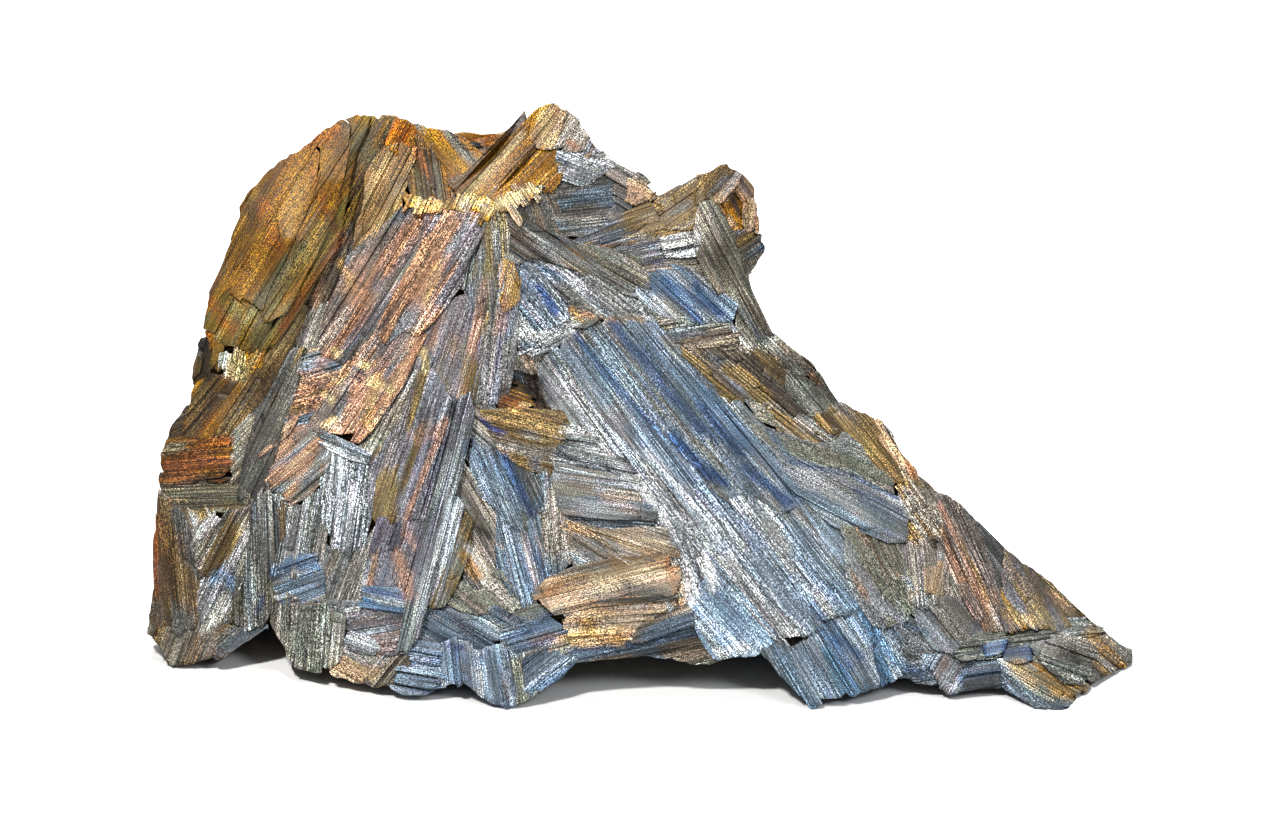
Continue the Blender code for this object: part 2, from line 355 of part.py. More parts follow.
def inner_mass(front, rear):
    """The outline drawn out from the best side to the far side, cut into cells and pushed to both reliefs."""
    rng = random.Random(5)
    bm = bmesh.new()
    outline = grown(points_of(OUTLINE), -2.0)
    base = bm.faces.new([bm.verts.new((u, v, 0.0)) for u, v in outline])
    made = bmesh.ops.extrude_face_region(bm, geom=[base])
    fresh = [e for e in made["geom"] if isinstance(e, bmesh.types.BMVert)]
    bmesh.ops.translate(bm, vec=(0, 0, 1), verts=fresh)
    cuts = [((u, 0, 0), (1, 0, 0)) for u in range(215, 1100, 74)]
    cuts += [((0, v, 0), (0, 1, 0)) for v in range(160, 700, 62)]
    cuts += [((0, 0, t), (0, 0, 1)) for t in (0.3, 0.68)]
    for at, normal in cuts:
        bmesh.ops.bisect_plane(bm, geom=bm.verts[:] + bm.edges[:] + bm.faces[:], dist=1e-4, plane_co=at, plane_no=normal)
    bmesh.ops.triangulate(bm, faces=bm.faces[:])
    for vert in bm.verts:
        u, v, t = vert.co
        near = min(front(u, v), ground_depth(u, v)) + CORE_BACK
        far = max(rear(u, v), near + 6.0)
        draw_in = 0.0 if t < 0.2 else (0.02 if t < 0.5 else (0.075 if t < 0.9 else 0.17))
        u += (620.0 - u) * draw_in
        v += (480.0 - v) * draw_in
        depth = near + (far - near) * t
        if t > 0.1:
            depth += rng.uniform(-0.7, 0.7)
        vert.co = place(u, v, depth)
    return new_object("inner_mass", bm, helper=BLADES)


def far_blades(rear):
    """Long blades on the far side, fanned out from the crest in three rows."""
    rng = random.Random(23)
    rows = []
    for reach, start, count, width in ((170, 10, 13, 46), (190, 150, 17, 52), (190, 300, 19, 56)):
        for k in range(count):
            turn = math.radians(-8 + 196 * (k + rng.uniform(0.25, 0.75)) / count)
            rows.append((reach * rng.uniform(0.85, 1.2), start + rng.uniform(-25, 25), turn, width * rng.uniform(0.8, 1.25), rng.uniform(-0.6, 2.6)))
    made = []
    for k, (reach, start, turn, width, lift) in enumerate(rows):
        along = (math.cos(turn) * 1.35, math.sin(turn))
        size = math.hypot(*along)
        flat = (-along[1] / size, along[0] / size)
        middle = (585 + along[0] * (start + reach / 2), 250 + along[1] * (start + reach / 2) * 0.86)
        shape = [(-0.5, -0.34), (-0.42, 0.3), (0.3, 0.5), (0.5, 0.2), (0.44, -0.42), (-0.1, -0.5)]
        points = []
        for a, b in shape:
            points.append((middle[0] + along[0] / size * a * reach + flat[0] * b * width,
                           middle[1] + along[1] / size * a * reach * 0.9 + flat[1] * b * width))
        if not all(inside(point, FAR_OUTLINE) for point in points):
            continue
        depths = [d + lift for d in fitted(points, rear, 60.0)]
        made.append(blade(f"far_{k:02d}", points, depths, -9.0, square=0.8))
    return made


def inside(point, outline):
    hit = False
    for a, b in zip(outline, outline[1:] + outline[:1]):
        if (a[1] > point[1]) != (b[1] > point[1]) and point[0] < (b[0] - a[0]) * (point[1] - a[1]) / (b[1] - a[1]) + a[0]:
            hit = not hit
    return hit


def rim_blades(front, rear):
    """Slabs set round the edge of the mass between the two sides."""
    rng = random.Random(71)
    outline = points_of(OUTLINE)
    count = len(outline)
    made = []
    for layer, share in enumerate((0.3, 0.62)):
        start = layer * 2
        k = start
        while k < start + 46:
            span = rng.choice((3, 4, 5))
            outer = [outline[(k + i) % count] for i in range(span)]
            k += span - 1
            if sum(p[1] for p in outer) / span > 640:
                continue
            draw_in = (3.0 if layer == 0 else 14.0) + rng.uniform(0.0, 8.0 if layer == 0 else 16.0)
            points = []
            for u, v in outer:
                away = Vector((600 - u, 470 - v)).normalized()
                points.append((u + away.x * draw_in, v + away.y * draw_in))
            for u, v in reversed(outer):
                away = Vector((600 - u, 470 - v)).normalized()
                points.append((u + away.x * (draw_in + 60), v + away.y * (draw_in + 60)))
            near = sum(front(u, v) for u, v in outer) / span
            far = sum(rear(u, v) for u, v in outer) / span
            depth = near + (far - near) * share + rng.uniform(-0.8, 0.8)
            lean = rng.uniform(-0.05, 0.05), rng.uniform(-0.05, 0.05)
            middle = points[0]
            depths = [depth + (u - middle[0]) * lean[0] + (v - middle[1]) * lean[1] for u, v in points]
            made.append(blade(f"rim_{layer}_{k:02d}", points, depths, (far - near) * rng.uniform(0.2, 0.3), square=0.9))
    return made


def island_volumes(bm):
    """Each shell of the mesh with its signed volume."""
    left = set(bm.faces)
    shells = []
    while left:
        stack = [left.pop()]
        shell = []
        while stack:
            face = stack.pop()
            shell.append(face)
            for edge in face.edges:
                for other in edge.link_faces:
                    if other in left:
                        left.remove(other)
                        stack.append(other)
        volume = 0.0
        for face in shell:
            corners = [v.co for v in face.verts]
            for i in range(1, len(corners) - 1):
                volume += corners[0].dot(corners[i].cross(corners[i + 1])) / 6.0
        shells.append((volume, shell))
    return sorted(shells, key=lambda pair: -pair[0])


for old in list(bpy.data.objects):
    bpy.data.objects.remove(old, do_unlink=True)

PARTS = bpy.data.collections.new("kyanite_blade_cluster")
BLADES = bpy.data.collections.new("blades")
BLADES.hide_render = True
bpy.context.scene.collection.children.link(PARTS)
bpy.context.scene.collection.children.link(BLADES)

stone = bpy.data.materials.new("kyanite_stone")
stone.use_nodes = True
shader = stone.node_tree.nodes["Principled BSDF"]
shader.inputs["Base Color"].default_value = (0.22, 0.24, 0.28, 1.0)
shader.inputs["Roughness"].default_value = 0.45

front, rear = Relief(FRONT), Relief(REAR)
FAR_OUTLINE = grown(points_of(OUTLINE), -22.0)

mass = inner_mass(front, rear)
for number, row in enumerate(FACES.strip().splitlines()):
    name, lift, outline = row.split("|")
    outline = points_of(outline)
    if abs(area_of(outline)) < SMALLEST:
        continue
    points = grown(plainer(outline, SLACK), GROW)
    lift = float(lift) + 0.35 * math.sin(number * 2.4)
    depths = [d - lift for d in fitted(points, front, 0.0)]
    blade(name, points, depths, FACE_DEPTH)
far_blades(rear)
rim_blades(front, rear)

# join every blade to the inner mass, then cut the mass off flat at the ground
bm = bmesh.new()
bmesh.ops.create_cube(bm, size=400.0)
bmesh.ops.translate(bm, vec=(0, 0, -200.0), verts=bm.verts[:])
ground = new_object("ground_cutter", bm, helper=BLADES)
BLADES.objects.unlink(ground)
CUTTERS = bpy.data.collections.new("cutters")
CUTTERS.hide_render = True
bpy.context.scene.collection.children.link(CUTTERS)
CUTTERS.objects.link(ground)
BLADES.objects.unlink(mass)
PARTS.objects.link(mass)
mass.hide_render = False
mass.display_type = "TEXTURED"
mass.name = "kyanite_cluster"
mass.data.materials.append(stone)

join = mass.modifiers.new("join", "BOOLEAN")
join.operation = "UNION"
join.solver = "EXACT"
join.operand_type = "COLLECTION"
join.collection = BLADES
cut = mass.modifiers.new("cut", "BOOLEAN")
cut.operation = "DIFFERENCE"
cut.solver = "EXACT"
cut.object = ground

bpy.context.view_layer.update()
graph = bpy.context.evaluated_depsgraph_get()
joined = bpy.data.meshes.new_from_object(mass.evaluated_get(graph), depsgraph=graph)
mass.modifiers.clear()
bm = bmesh.new()
bm.from_mesh(joined)
bmesh.ops.triangulate(bm, faces=bm.faces[:])
bmesh.ops.remove_doubles(bm, verts=bm.verts[:], dist=2e-6)
bmesh.ops.dissolve_degenerate(bm, edges=bm.edges[:], dist=2e-6)
shells = island_volumes(bm)
for volume, shell in shells[1:]:
    bmesh.ops.delete(bm, geom=shell, context="FACES")
loose = [v for v in bm.verts if not v.link_faces]
bmesh.ops.delete(bm, geom=loose, context="VERTS")
bmesh.ops.triangulate(bm, faces=bm.faces[:])
bm.to_mesh(mass.data)
bm.free()
mass.data.materials.clear()
mass.data.materials.append(stone)
for helper in list(BLADES.objects) + list(CUTTERS.objects):
    helper.hide_render = True
    helper.display_type = "WIRE"
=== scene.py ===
import math
import random

import bmesh
import bpy
import numpy as np
from mathutils import Matrix, Vector


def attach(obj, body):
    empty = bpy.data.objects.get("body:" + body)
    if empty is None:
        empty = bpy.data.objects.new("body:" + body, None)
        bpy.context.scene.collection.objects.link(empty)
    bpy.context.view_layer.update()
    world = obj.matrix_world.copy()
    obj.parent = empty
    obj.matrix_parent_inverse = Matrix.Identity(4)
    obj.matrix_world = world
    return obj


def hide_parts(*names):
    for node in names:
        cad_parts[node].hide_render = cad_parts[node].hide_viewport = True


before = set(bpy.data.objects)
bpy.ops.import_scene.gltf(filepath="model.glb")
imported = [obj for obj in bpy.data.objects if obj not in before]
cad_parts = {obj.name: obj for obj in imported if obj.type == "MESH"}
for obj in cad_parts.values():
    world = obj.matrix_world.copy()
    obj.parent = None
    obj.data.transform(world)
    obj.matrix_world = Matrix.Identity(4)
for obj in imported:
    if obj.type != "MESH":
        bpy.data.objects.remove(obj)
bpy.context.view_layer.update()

# ---------------------------------------------------------------- the drawing, in the CAD's own numbers
MM = 0.001
UNIT = 150.0 / 985.0
MID_U, MID_V = 640.0, 406.5
EYE = 750.0
TILT = math.radians(20.0)
SHEET_Z = 35.4
SHIFT = (0.161, -0.056)
SIN, COS = math.sin(TILT), math.cos(TILT)

OUTLINE = """147,633 152,592 153,540 157,505 161,455 170,430 187,405 192,385 196,355 201,330 212,288 228,248 241,204
257,180 279,162 303,147 325,128 356,114 397,116 422,125 450,133 502,134 526,110 553,103 578,118 591,139 613,160 641,172
657,186 655,200 685,181 728,163 754,185 760,232 765,248 747,282 776,335 812,361 840,401 884,423 901,451 934,490
962,504 1009,551 1044,576 1093,623 1130,651 1133,664 1093,684 1070,710 1036,710 1003,686 954,695 903,678 854,697
811,709 762,655 701,665 641,656 577,664 543,692 504,710 463,685 420,698 345,680 291,666 281,643 266,628 223,660
171,667"""

FRONT = """171,665,-5.5 223,660,-7 266,624,-5 290,664,-10 345,679,-14 400,694,-17 450,684,-17 504,708,-20 560,672,-18
606,660,-16 641,654,-15.5 701,662,-15.5 760,650,-16.5 811,706,-20 850,692,-18.5 893,676,-16 946,696,-17 1003,685,-15
1060,709,-19.8 1111,672,-8 1133,662,-4 150,620,-1 155,560,1 160,500,2 165,440,3 190,400,4 200,330,5 225,258,6
257,180,7 303,147,8 372,111,8 230,500,-3 250,580,-6 220,420,0 250,330,0 290,240,1 330,180,3 380,130,5 350,220,5
310,320,3.2 270,400,0.5 250,480,-3 380,250,3 340,380,-1 400,300,-1.5 430,220,0.5 360,430,-4 300,440,-2.5 495,212,-4.5
480,300,-7 462,400,-9.5 445,500,-12.5 425,600,-15.5 330,500,-7 300,600,-9.5 380,560,-11 520,300,-5 515,395,-6
540,385,-4 560,325,-3 575,335,-3.5 640,330,-2 600,430,-7 700,430,-7 680,520,-11 760,500,-10 740,600,-15 850,560,-13
800,630,-17.5 860,620,-16 412,125,9 450,135,11 480,140,13 526,112,10 500,180,4 470,195,2.5 553,105,13 590,130,14
575,165,9 611,152,14 657,186,12 600,210,6 565,235,1.5 530,215,1 650,235,5 690,225,7 700,172,11 728,162,12
756,195,14 735,215,11 765,245,13 746,280,10 720,240,6.5 680,260,3 690,290,1 740,320,3.5 776,335,8 720,350,-1
760,380,0.5 812,361,8 840,401,9 800,410,2 884,423,8 860,450,3 830,470,-2 901,451,8 934,490,6 900,500,0.5 870,530,-5
920,570,-5 948,495,5 973,519,5 1009,551,4.5 970,560,-1.5 1000,600,-4.5 1044,576,3.5 1093,623,1 1050,610,-2 940,620,-9.5
1000,640,-11 1060,650,-12.5 1090,660,-9 920,650,-13 1030,680,-17 600,480,-10 560,440,-8 530,520,-11.5 620,560,-13.5
600,620,-15.5 500,600,-15 480,540,-12.5 660,620,-14.5 550,575,-13"""

REAR = """160,600,13 200,330,18 257,180,17 372,115,16 450,130,18 553,105,19 657,190,22 728,165,20 765,250,21 812,360,22
901,450,20 1009,551,17 1093,625,11 1130,655,4 171,660,6 300,250,25 500,250,27 700,300,28 250,450,24 400,400,31 600,400,33
750,450,31 900,540,25 400,560,37 600,560,40 800,590,34 1000,630,19 300,600,27 500,660,40 700,660,42 900,660,28"""

# blade faces: name | grain angle | lift in mm | finish | outline in drawing units
PLATES = """
rust_rim|60|0.4|ochre|200,330 203,315 207,300 212,288 218,275 222,258 228,248 235,232 240,215 241,204 248,192 257,180 262,171 268,165 279,162 288,158 280,178 268,205 258,232 247,258 238,280 226,288 214,300
rust_main|58|1.0|rust|226,288 238,280 247,258 258,232 268,205 280,178 288,158 283,155 292,148 303,147 309,142 320,150 318,175 308,205 296,232 284,258 268,288 262,312
rust_mid|57|1.6|ochre|309,142 312,135 316,131 325,128 334,126 344,116 352,122 350,140 346,165 340,195 330,222 316,252 300,282 285,312 268,322 262,312 268,288 284,258 296,232 308,205 318,175 320,150
rust_inner|56|0.8|ochrebrown|352,122 344,116 356,114 362,116 368,113 372,111 366,128 356,148 350,172 346,198 342,222 336,246 322,270 306,296 290,322 276,340 262,352 254,348 268,322 285,312 300,282 316,252 330,222 340,195 346,165 350,140
rust_low|62|0.2|ochregrey|203,315 214,300 226,288 250,300 272,320 264,338 254,350 244,352 225,346 212,336 201,328
rust_crest|58|-0.6|brownspeck|372,111 384,116 386,111 394,111 397,116 400,119 394,132 384,150 370,166 360,190 352,215 345,235 337,243 342,222 346,198 350,172 356,148 366,128
dark_strip|66|-1.8|pepper|366,166 364,180 365,200 360,228 352,250 345,266 335,292 324,312 312,332 300,346 290,352 294,328 304,306 318,286 327,266 338,242 346,222 352,200 358,178
silver_strip|68|-1.0|silver|300,318 312,304 334,298 336,312 324,336 314,360 304,376 296,384 292,366 294,342
tan_fan|57|0.3|tanstripe|300,300 307,306 300,328 290,350 279,372 266,392 252,412 240,428 226,438 214,442 224,420 238,400 246,384 256,362 270,342 286,322
slate_blade|64|0.8|slate|302,348 302,366 299,382 290,402 283,422 276,450 268,472 262,492 254,502 236,502 240,480 246,455 254,426 266,400 280,374
hollow_left|75|-4.0|black|197,338 207,334 216,348 217,370 208,384 196,388 192,378 195,356
crumb_orange|50|-1.0|orange|203,330 212,336 225,344 224,356 220,372 214,366 214,348
crumb_white|80|0.2|crumb|221,350 242,349 245,376 242,388 228,380 219,366
blade_ochre|50|0.4|ochredark|196,384 214,374 230,380 246,386 250,381 240,400 228,416 214,440 192,444 182,442 186,422 191,404 192,394
block_slate|20|-0.6|slatedull|180,408 191,404 190,428 184,440 164,442 166,434 170,430 178,420
block_rust|4|0.8|rustblock|162,440 184,438 204,440 232,439 234,456 230,474 218,482 200,478 182,484 162,486 160,470 161,455
streak_white|45|0.2|silverdark|216,441 232,430 252,414 252,438 246,458 240,478 234,482 230,466 232,442
block_grey|2|-0.3|greystripe|160,484 182,482 218,480 240,478 254,488 252,506 236,510 214,510 194,508 172,504 160,494
blade_brown|-84|0.6|umber|158,490 172,502 182,514 192,536 198,562 201,590 199,618 182,634 164,640 148,634 150,613 152,600 154,568 152,540 153,525 156,505
blade_silver|60|0.6|silver|189,548 198,524 214,510 234,509 224,530 212,554 202,572 194,564
blade_tan|62|0.9|tanstripe|234,509 250,507 243,530 230,556 212,574 198,578 206,562 220,536
blade_blue|64|0.2|silverblue|250,510 252,532 247,562 238,592 227,622 206,632 197,614 199,584 212,572 230,556 243,530
stripe_grey|-88|0.7|greystripe|238,482 254,500 262,490 267,480 271,500 273,540 273,580 272,608 262,624 246,626 225,622 236,592 246,562 252,532 250,508
stripe_ink|-86|0.2|ink|266,488 276,494 284,510 284,540 277,560 272,578 271,540 268,512
foot_brown|70|0.0|umbertan|147,633 152,612 164,626 182,622 199,612 214,622 217,654 210,656 199,658 187,665 176,668 171,667 166,658 162,643 155,637
foot_facet|40|0.5|steel|212,628 228,620 250,622 264,620 267,628 256,635 248,641 236,652 223,663 216,656
tip_orange|62|0.4|peachorange|394,124 400,117 407,117 411,122 416,132 414,150 402,156 390,150 386,144
plate_peach|62|0.2|peach|368,168 384,150 402,142 414,150 408,182 400,196 402,206 386,226 366,242 350,258 356,232 363,204 364,182
brush_wedge|-82|0.6|brush|410,134 424,139 434,154 446,178 455,196 447,207 430,203 419,206 411,192 406,166
gold_crumbs|66|2.0|goldcrumb|398,193 420,199 446,201 456,194 470,195 487,200 498,206 488,217 470,214 450,210 430,214 404,210
gold_chips|-58|2.0|goldcrumb|494,202 510,189 530,185 550,187 534,201 512,212 500,215
copper_a|58|0.6|copperpink|348,258 366,242 386,226 406,206 434,211 422,236 404,262 384,290 366,318 350,342 334,360 316,352 326,312 336,292 346,266
copper_b|58|1.0|copper|434,211 456,206 488,214 481,236 468,255 460,284 447,303 430,324 416,336 404,330 386,344 376,330 390,304 404,280 418,254 426,232
copper_c|57|0.2|sage|384,292 404,264 422,238 428,242 418,262 404,284 390,306 376,332 360,352 346,366 334,362 350,342 366,318
copper_d|56|1.2|coppergold|346,366 360,352 376,332 388,346 406,330 420,322 428,332 417,352 407,376 392,402 374,427 356,446 340,441 322,434 306,426 322,404 336,386
copper_e|15|0.5|copperblock|302,362 314,350 332,362 348,368 338,386 324,404 308,426 298,430 282,421 290,402 298,382
plate_grey|72|0.8|plategrey|430,326 446,304 458,294 472,288 477,310 470,342 464,372 457,402 442,388 432,374 418,366 417,350
gold_chip|70|1.4|goldchip|420,353 427,347 432,358 430,373 422,369
sage_tail|62|0.0|sagedark|392,402 404,380 416,354 424,366 414,394 402,422 388,444 372,456 356,450 374,427
steel_line|-24|1.2|steelblue|314,427 332,434 352,445 374,452 368,463 346,458 318,442
pink_bits|40|0.3|pinkbits|274,424 290,424 310,429 334,440 330,460 320,482 310,494 290,503 274,494 266,482 274,452
white_patch|82|0.6|whitetex|328,446 350,454 368,460 374,482 371,512 364,542 350,553 334,547 324,522 322,490 320,466
tan_stripes|80|0.2|greypink|266,492 286,500 302,504 312,488 324,484 327,520 324,548 320,572 302,582 286,577 271,572 284,542 284,512
blue_patch|20|0.4|bluegrey|270,566 290,556 312,556 322,568 324,600 302,607 284,602 274,594
fibre_grey|70|0.0|greyfibre|322,546 336,544 352,551 366,542 382,518 380,546 370,576 362,604 344,604 324,602 318,582
pale_tan|86|0.3|paletan|272,586 302,606 326,602 330,630 326,656 316,668 309,671 300,669 291,666 286,660 284,650 281,643 272,626
panel_olive|84|0.6|olivetan|324,612 346,610 344,640 338,662 326,668 316,664 321,634
block_white|-20|1.0|whiteblock|350,632 372,640 378,648 372,654 350,650 343,642
block_mauve|10|0.5|mauvegrey|344,608 362,602 402,608 414,618 407,652 386,654 370,642 350,636 342,630
foot_peach|-30|0.4|peachfoot|328,662 342,646 360,652 386,654 378,670 364,683 345,680 332,675
foot_fibre|50|0.2|fibredark|382,656 402,640 414,656 404,670 394,682 376,688 362,684 374,670
mauve_a|73|0.6|umbermauve|417,364 432,372 444,386 432,416 423,450 413,482 404,518 392,522 378,522 368,512 370,480 372,456 386,442 402,420 412,394
mauve_b|74|1.2|purple|442,386 458,400 453,430 443,470 434,500 424,522 404,520 400,514 410,480 421,450 431,416
mauve_c|75|1.8|mauvestripe|456,400 470,392 473,420 465,450 458,482 452,502 442,540 428,600 418,636 406,654 398,650 404,622 409,592 420,542 431,502 441,470 450,430
block_dark|70|1.0|slatemauve|378,520 406,519 404,534 399,550 370,550
block_copper|75|0.8|mauvecopper|370,548 418,546 412,592 402,594 362,590
band_blue|-12|1.2|bandblue|360,587 402,589 408,600 402,611 358,605
silver_blade|76|1.6|silverwhite|438,506 456,499 462,511 457,542 447,572 437,602 424,604 430,570 436,542 426,530
tan_sliver|72|1.0|tangrey|462,510 472,520 470,546 457,582 443,608 430,608 446,572 456,542
back_olive|-50|0.3|olivegrey|411,122 417,120 422,125 438,123 445,128 450,133 464,139 476,150 484,158 468,176 452,182 442,162 432,148 420,139
back_red|10|-0.8|redblock|448,132 465,132 475,134 487,131 497,130 503,136 502,147 492,152 478,152 464,141
gold_slab|48|0.8|goldslab|448,180 466,174 482,158 492,149 502,136 508,128 515,119 526,110 529,122 528,134 536,144 518,165 502,180 490,198 480,204 468,200 456,195
gold_low|46|0.2|brownmauve|536,144 550,150 564,150 562,172 553,192 530,190 510,192 496,205 488,199 502,180 518,165
dome_gold|52|0.8|domegold|527,121 533,114 540,108 547,105 553,103 560,104 568,109 562,128 552,152 540,149 530,142 526,133
dome_mauve|60|0.2|domemauve|566,107 578,118 590,128 592,134 591,140 592,154 576,155 562,152 548,151 560,128
silvery_back|-20|0.0|silvery|560,150 576,152 592,150 597,151 611,152 615,156 613,160 606,172 592,186 575,184 560,178
slate_back|6|-1.0|slatedark|550,192 559,174 576,182 592,185 603,174 612,180 617,202 607,227 592,237 570,234 558,216
grey_back|-30|-0.2|silvery2|603,172 613,160 619,165 625,170 632,174 642,176 634,194 628,215 617,228 605,227 616,202 610,182
tan_knob|-30|0.6|tanknob|630,176 636,172 641,171 652,179 657,186 655,192 648,200 638,206 627,201
slate_tri|-66|-0.4|slateblue|498,212 514,204 535,197 552,190 560,214 567,236 556,242 540,234 520,223
brown_wedge|18|0.4|brownwedge|563,233 590,236 606,228 626,214 641,204 654,203 657,215 632,233 612,247 590,250 570,244
peak_plate|35|0.3|browngrey|648,200 655,194 662,189 672,184 685,179 700,170 703,190 701,208 692,228 670,228 655,217
peak_tan|50|0.9|tanpeak|697,172 709,168 718,167 728,162 734,166 740,170 737,186 727,200 712,203 702,203
peak_rim|-55|0.3|brownpeak|739,170 745,176 750,182 754,185 756,192 755,201 744,203 737,192 734,184
peak_hollow|-60|-2.2|hollowbrown|711,202 725,198 738,190 747,202 750,226 740,234 727,232 721,216
peak_side|80|0.5|peachtan|744,202 755,200 760,213 761,222 759,232 748,234 744,226
peak_bits|35|0.0|greybrown2|726,233 748,231 759,230 764,233 761,238 765,248 760,258 754,268 746,282 738,272 727,250
spine|-62|0.9|spine|699,200 713,200 723,215 732,235 740,262 745,280 750,291 757,300 765,313 776,335 762,343 750,328 735,303 716,283 702,264 694,240 697,215
band_brown|10|0.2|bandbrown|634,230 656,215 670,226 694,224 698,240 662,242 622,243 610,247
block_snow|10|1.0|snow|660,239 690,231 698,240 700,256 666,257 658,246
block_ink|12|0.4|inkwhite|614,244 640,237 664,238 668,259 642,264 612,257
band_tan|5|0.2|tanband|636,262 668,256 702,255 708,276 690,272 655,274 638,278
apex_spire|-86|1.0|spire|479,214 487,206 495,207 503,211 508,235 507,256 498,280 490,312 475,314 469,292 477,266 484,240
apex_dark|80|0.2|pepper|464,256 478,238 486,240 480,266 471,292 459,288
mauve_run|76|0.8|mauverun|459,286 474,306 490,308 483,350 474,404 455,404 462,372 470,342 470,308
ridge_grey|82|1.0|greymauve|488,312 497,280 506,254 517,258 519,290 516,330 514,360 509,388 494,404 472,404 482,350
gold_face|75|1.4|copperspot|499,262 513,258 519,274 518,300 504,312 500,290
crown_grey|-35|0.6|crown|501,210 515,213 530,222 546,232 576,243 602,252 614,272 610,282 590,274 560,264 536,257 516,262 505,256 504,234
crown_low|-38|0.2|zebra|514,259 536,255 562,261 592,270 612,276 642,300 660,322 640,326 620,316 600,321 576,316 562,292 546,277 530,272
pale_tex|-50|0.4|paletex|514,262 530,269 547,274 563,290 578,312 562,325 542,338 526,349 513,338 512,310
spot_orange|20|0.8|ochrespot|566,311 580,304 592,312 600,319 584,328 571,327
white_band|28|0.6|whiteband|514,342 542,334 562,322 574,324 584,327 572,337 554,348 532,355 516,353
edge_brown|-30|0.9|edgebrown|552,236 576,243 604,248 640,258 646,276 636,296 622,291 606,277 580,257
plate_blue|-42|0.6|plateblue|638,275 655,272 690,270 706,274 722,290 738,306 733,320 700,323 680,320 660,315 644,302 636,291
band_spine|-50|0.2|greytan|702,260 718,280 737,300 752,325 763,342 753,353 738,348 732,322 736,306 706,276
knot_dark|10|0.0|knot|656,316 680,317 700,320 734,319 741,348 720,348 700,347 690,355 678,342 664,328
fan_brown|-40|0.6|fanbrown|688,352 700,345 740,344 756,350 778,362 792,385 808,411 792,424 770,408 750,398 730,403 711,392 698,371
fan_low|-38|0.3|fanlow|766,405 790,420 806,409 818,430 843,429 834,444 802,444 778,428
rim_upper|-45|0.2|rimtan|758,342 776,335 784,338 793,344 797,351 812,361 818,369 806,378 790,375 775,363 752,352
rim_knobs|-50|0.6|knobs|789,373 806,376 818,368 826,379 833,391 840,401 832,412 816,417 804,411 790,390
rim_brown|-50|0.2|rimbrown|803,411 830,411 840,401 855,409 866,412 875,416 883,430 893,455 903,482 890,484 875,468 858,448 840,433 815,433
rim_peach|-62|0.8|peachrim|874,416 884,423 890,430 896,441 901,451 907,458 912,465 919,478 902,484 892,456 881,431
plate_smooth|-22|0.8|smooth|746,397 770,405 780,426 802,442 832,442 842,431 862,446 877,466 892,481 897,499 870,492 840,480 810,467 788,457 764,437 752,420
plate_fold|-28|1.0|smoothblue|772,450 790,458 820,470 850,481 897,498 908,520 908,543 890,543 865,531 850,533 830,523 808,502 788,482
lens_olive|-62|0.4|olivedark|862,527 880,534 902,545 908,560 911,577 896,580 880,564 866,548
plate_low|-58|0.5|greyplate|846,530 866,529 870,546 882,561 897,577 910,580 918,602 908,614 892,624 876,629 860,604 849,582 846,556
stripe_pale|-84|0.5|palestripe|903,540 926,544 942,554 950,580 947,602 926,608 911,602 906,576
blob_tan|80|1.0|tanblob|924,568 938,562 948,566 946,590 940,602 926,598 922,584
tan_spark|-55|0.2|tanspark|900,482 919,477 934,490 950,508 945,540 926,547 904,543 906,520 896,500
copper_wing|-66|0.8|copperwing|932,489 948,495 955,499 962,504 974,520 984,545 994,575 1004,600 1007,628 985,630 973,607 960,582 949,556 939,540 944,514
slate_wing|-52|0.2|slatewing|971,518 978,523 985,525 995,537 1003,546 1011,552 1008,566 1006,588 996,592 988,567 979,545
mauve_wing|-58|0.8|mauvewing|1007,551 1020,552 1025,555 1035,566 1044,576 1064,598 1078,611 1093,623 1070,626 1034,629 1018,612 1003,592 1003,570
copper_low|-58|1.0|copperlow|996,596 1006,590 1020,610 1037,627 1006,631
rim_wing|-42|0.6|rimwing|1036,568 1044,576 1064,598 1093,623 1113,637 1108,640 1088,630 1066,612 1048,592
plate_pale|-50|0.5|palegrey|913,606 946,599 966,601 977,609 988,628 973,642 955,653 934,648 920,627
layers|6|0.8|layers|966,642 984,628 1006,625 1036,622 1086,617 1095,622 1104,634 1076,638 1046,641 1020,648 990,658 962,658 952,652
chip_blue|8|1.3|chipblue|984,643 1006,639 1004,651 986,656
chip_blue2|5|1.2|chipblue|1003,652 1030,645 1034,659 1016,664 1002,659
plate_wing|-20|0.5|wingtan|1028,645 1048,639 1076,634 1102,638 1094,664 1084,684 1064,681 1048,668
tip|-42|0.8|tipochre|1091,622 1103,631 1113,637 1122,645 1130,651 1132,658 1133,664 1124,668 1118,668 1111,675 1098,681 1088,680 1090,662 1098,640
nodules|-30|0.4|nodules|998,660 1016,662 1034,657 1050,667 1066,681 1086,683 1090,688 1084,694 1078,700 1075,703 1070,710 1045,707 1028,696 1010,681
keel|-42|1.0|keel|998,668 1012,679 1030,694 1047,704 1070,706 1070,710 1036,710 1024,700 1013,693 1003,686
hem_dark|10|0.2|hemblue|900,658 926,657 940,682 936,685 920,682 907,680 902,672
hem_silver|60|0.9|hemsilver|922,653 944,656 966,664 963,682 956,693 946,698 940,690 934,676
hem_right|8|0.4|hemdark|956,660 985,657 1002,660 1006,686 1003,687 983,694 954,695 956,684
hem_fibre|-35|0.2|greyfibre|888,622 908,608 922,625 938,645 966,650 986,655 956,662 926,658 902,655 893,641
fan_a|-54|0.2|fansilver|538,372 550,350 562,344 577,370 592,395 612,420 632,440 652,460 642,482 620,460 600,442 575,430 560,414 546,400
fan_b|-53|0.8|fanblue1|558,347 569,331 580,329 592,350 612,380 632,405 657,435 682,460 702,480 690,498 668,482 648,462 628,442 608,422 588,397 573,372
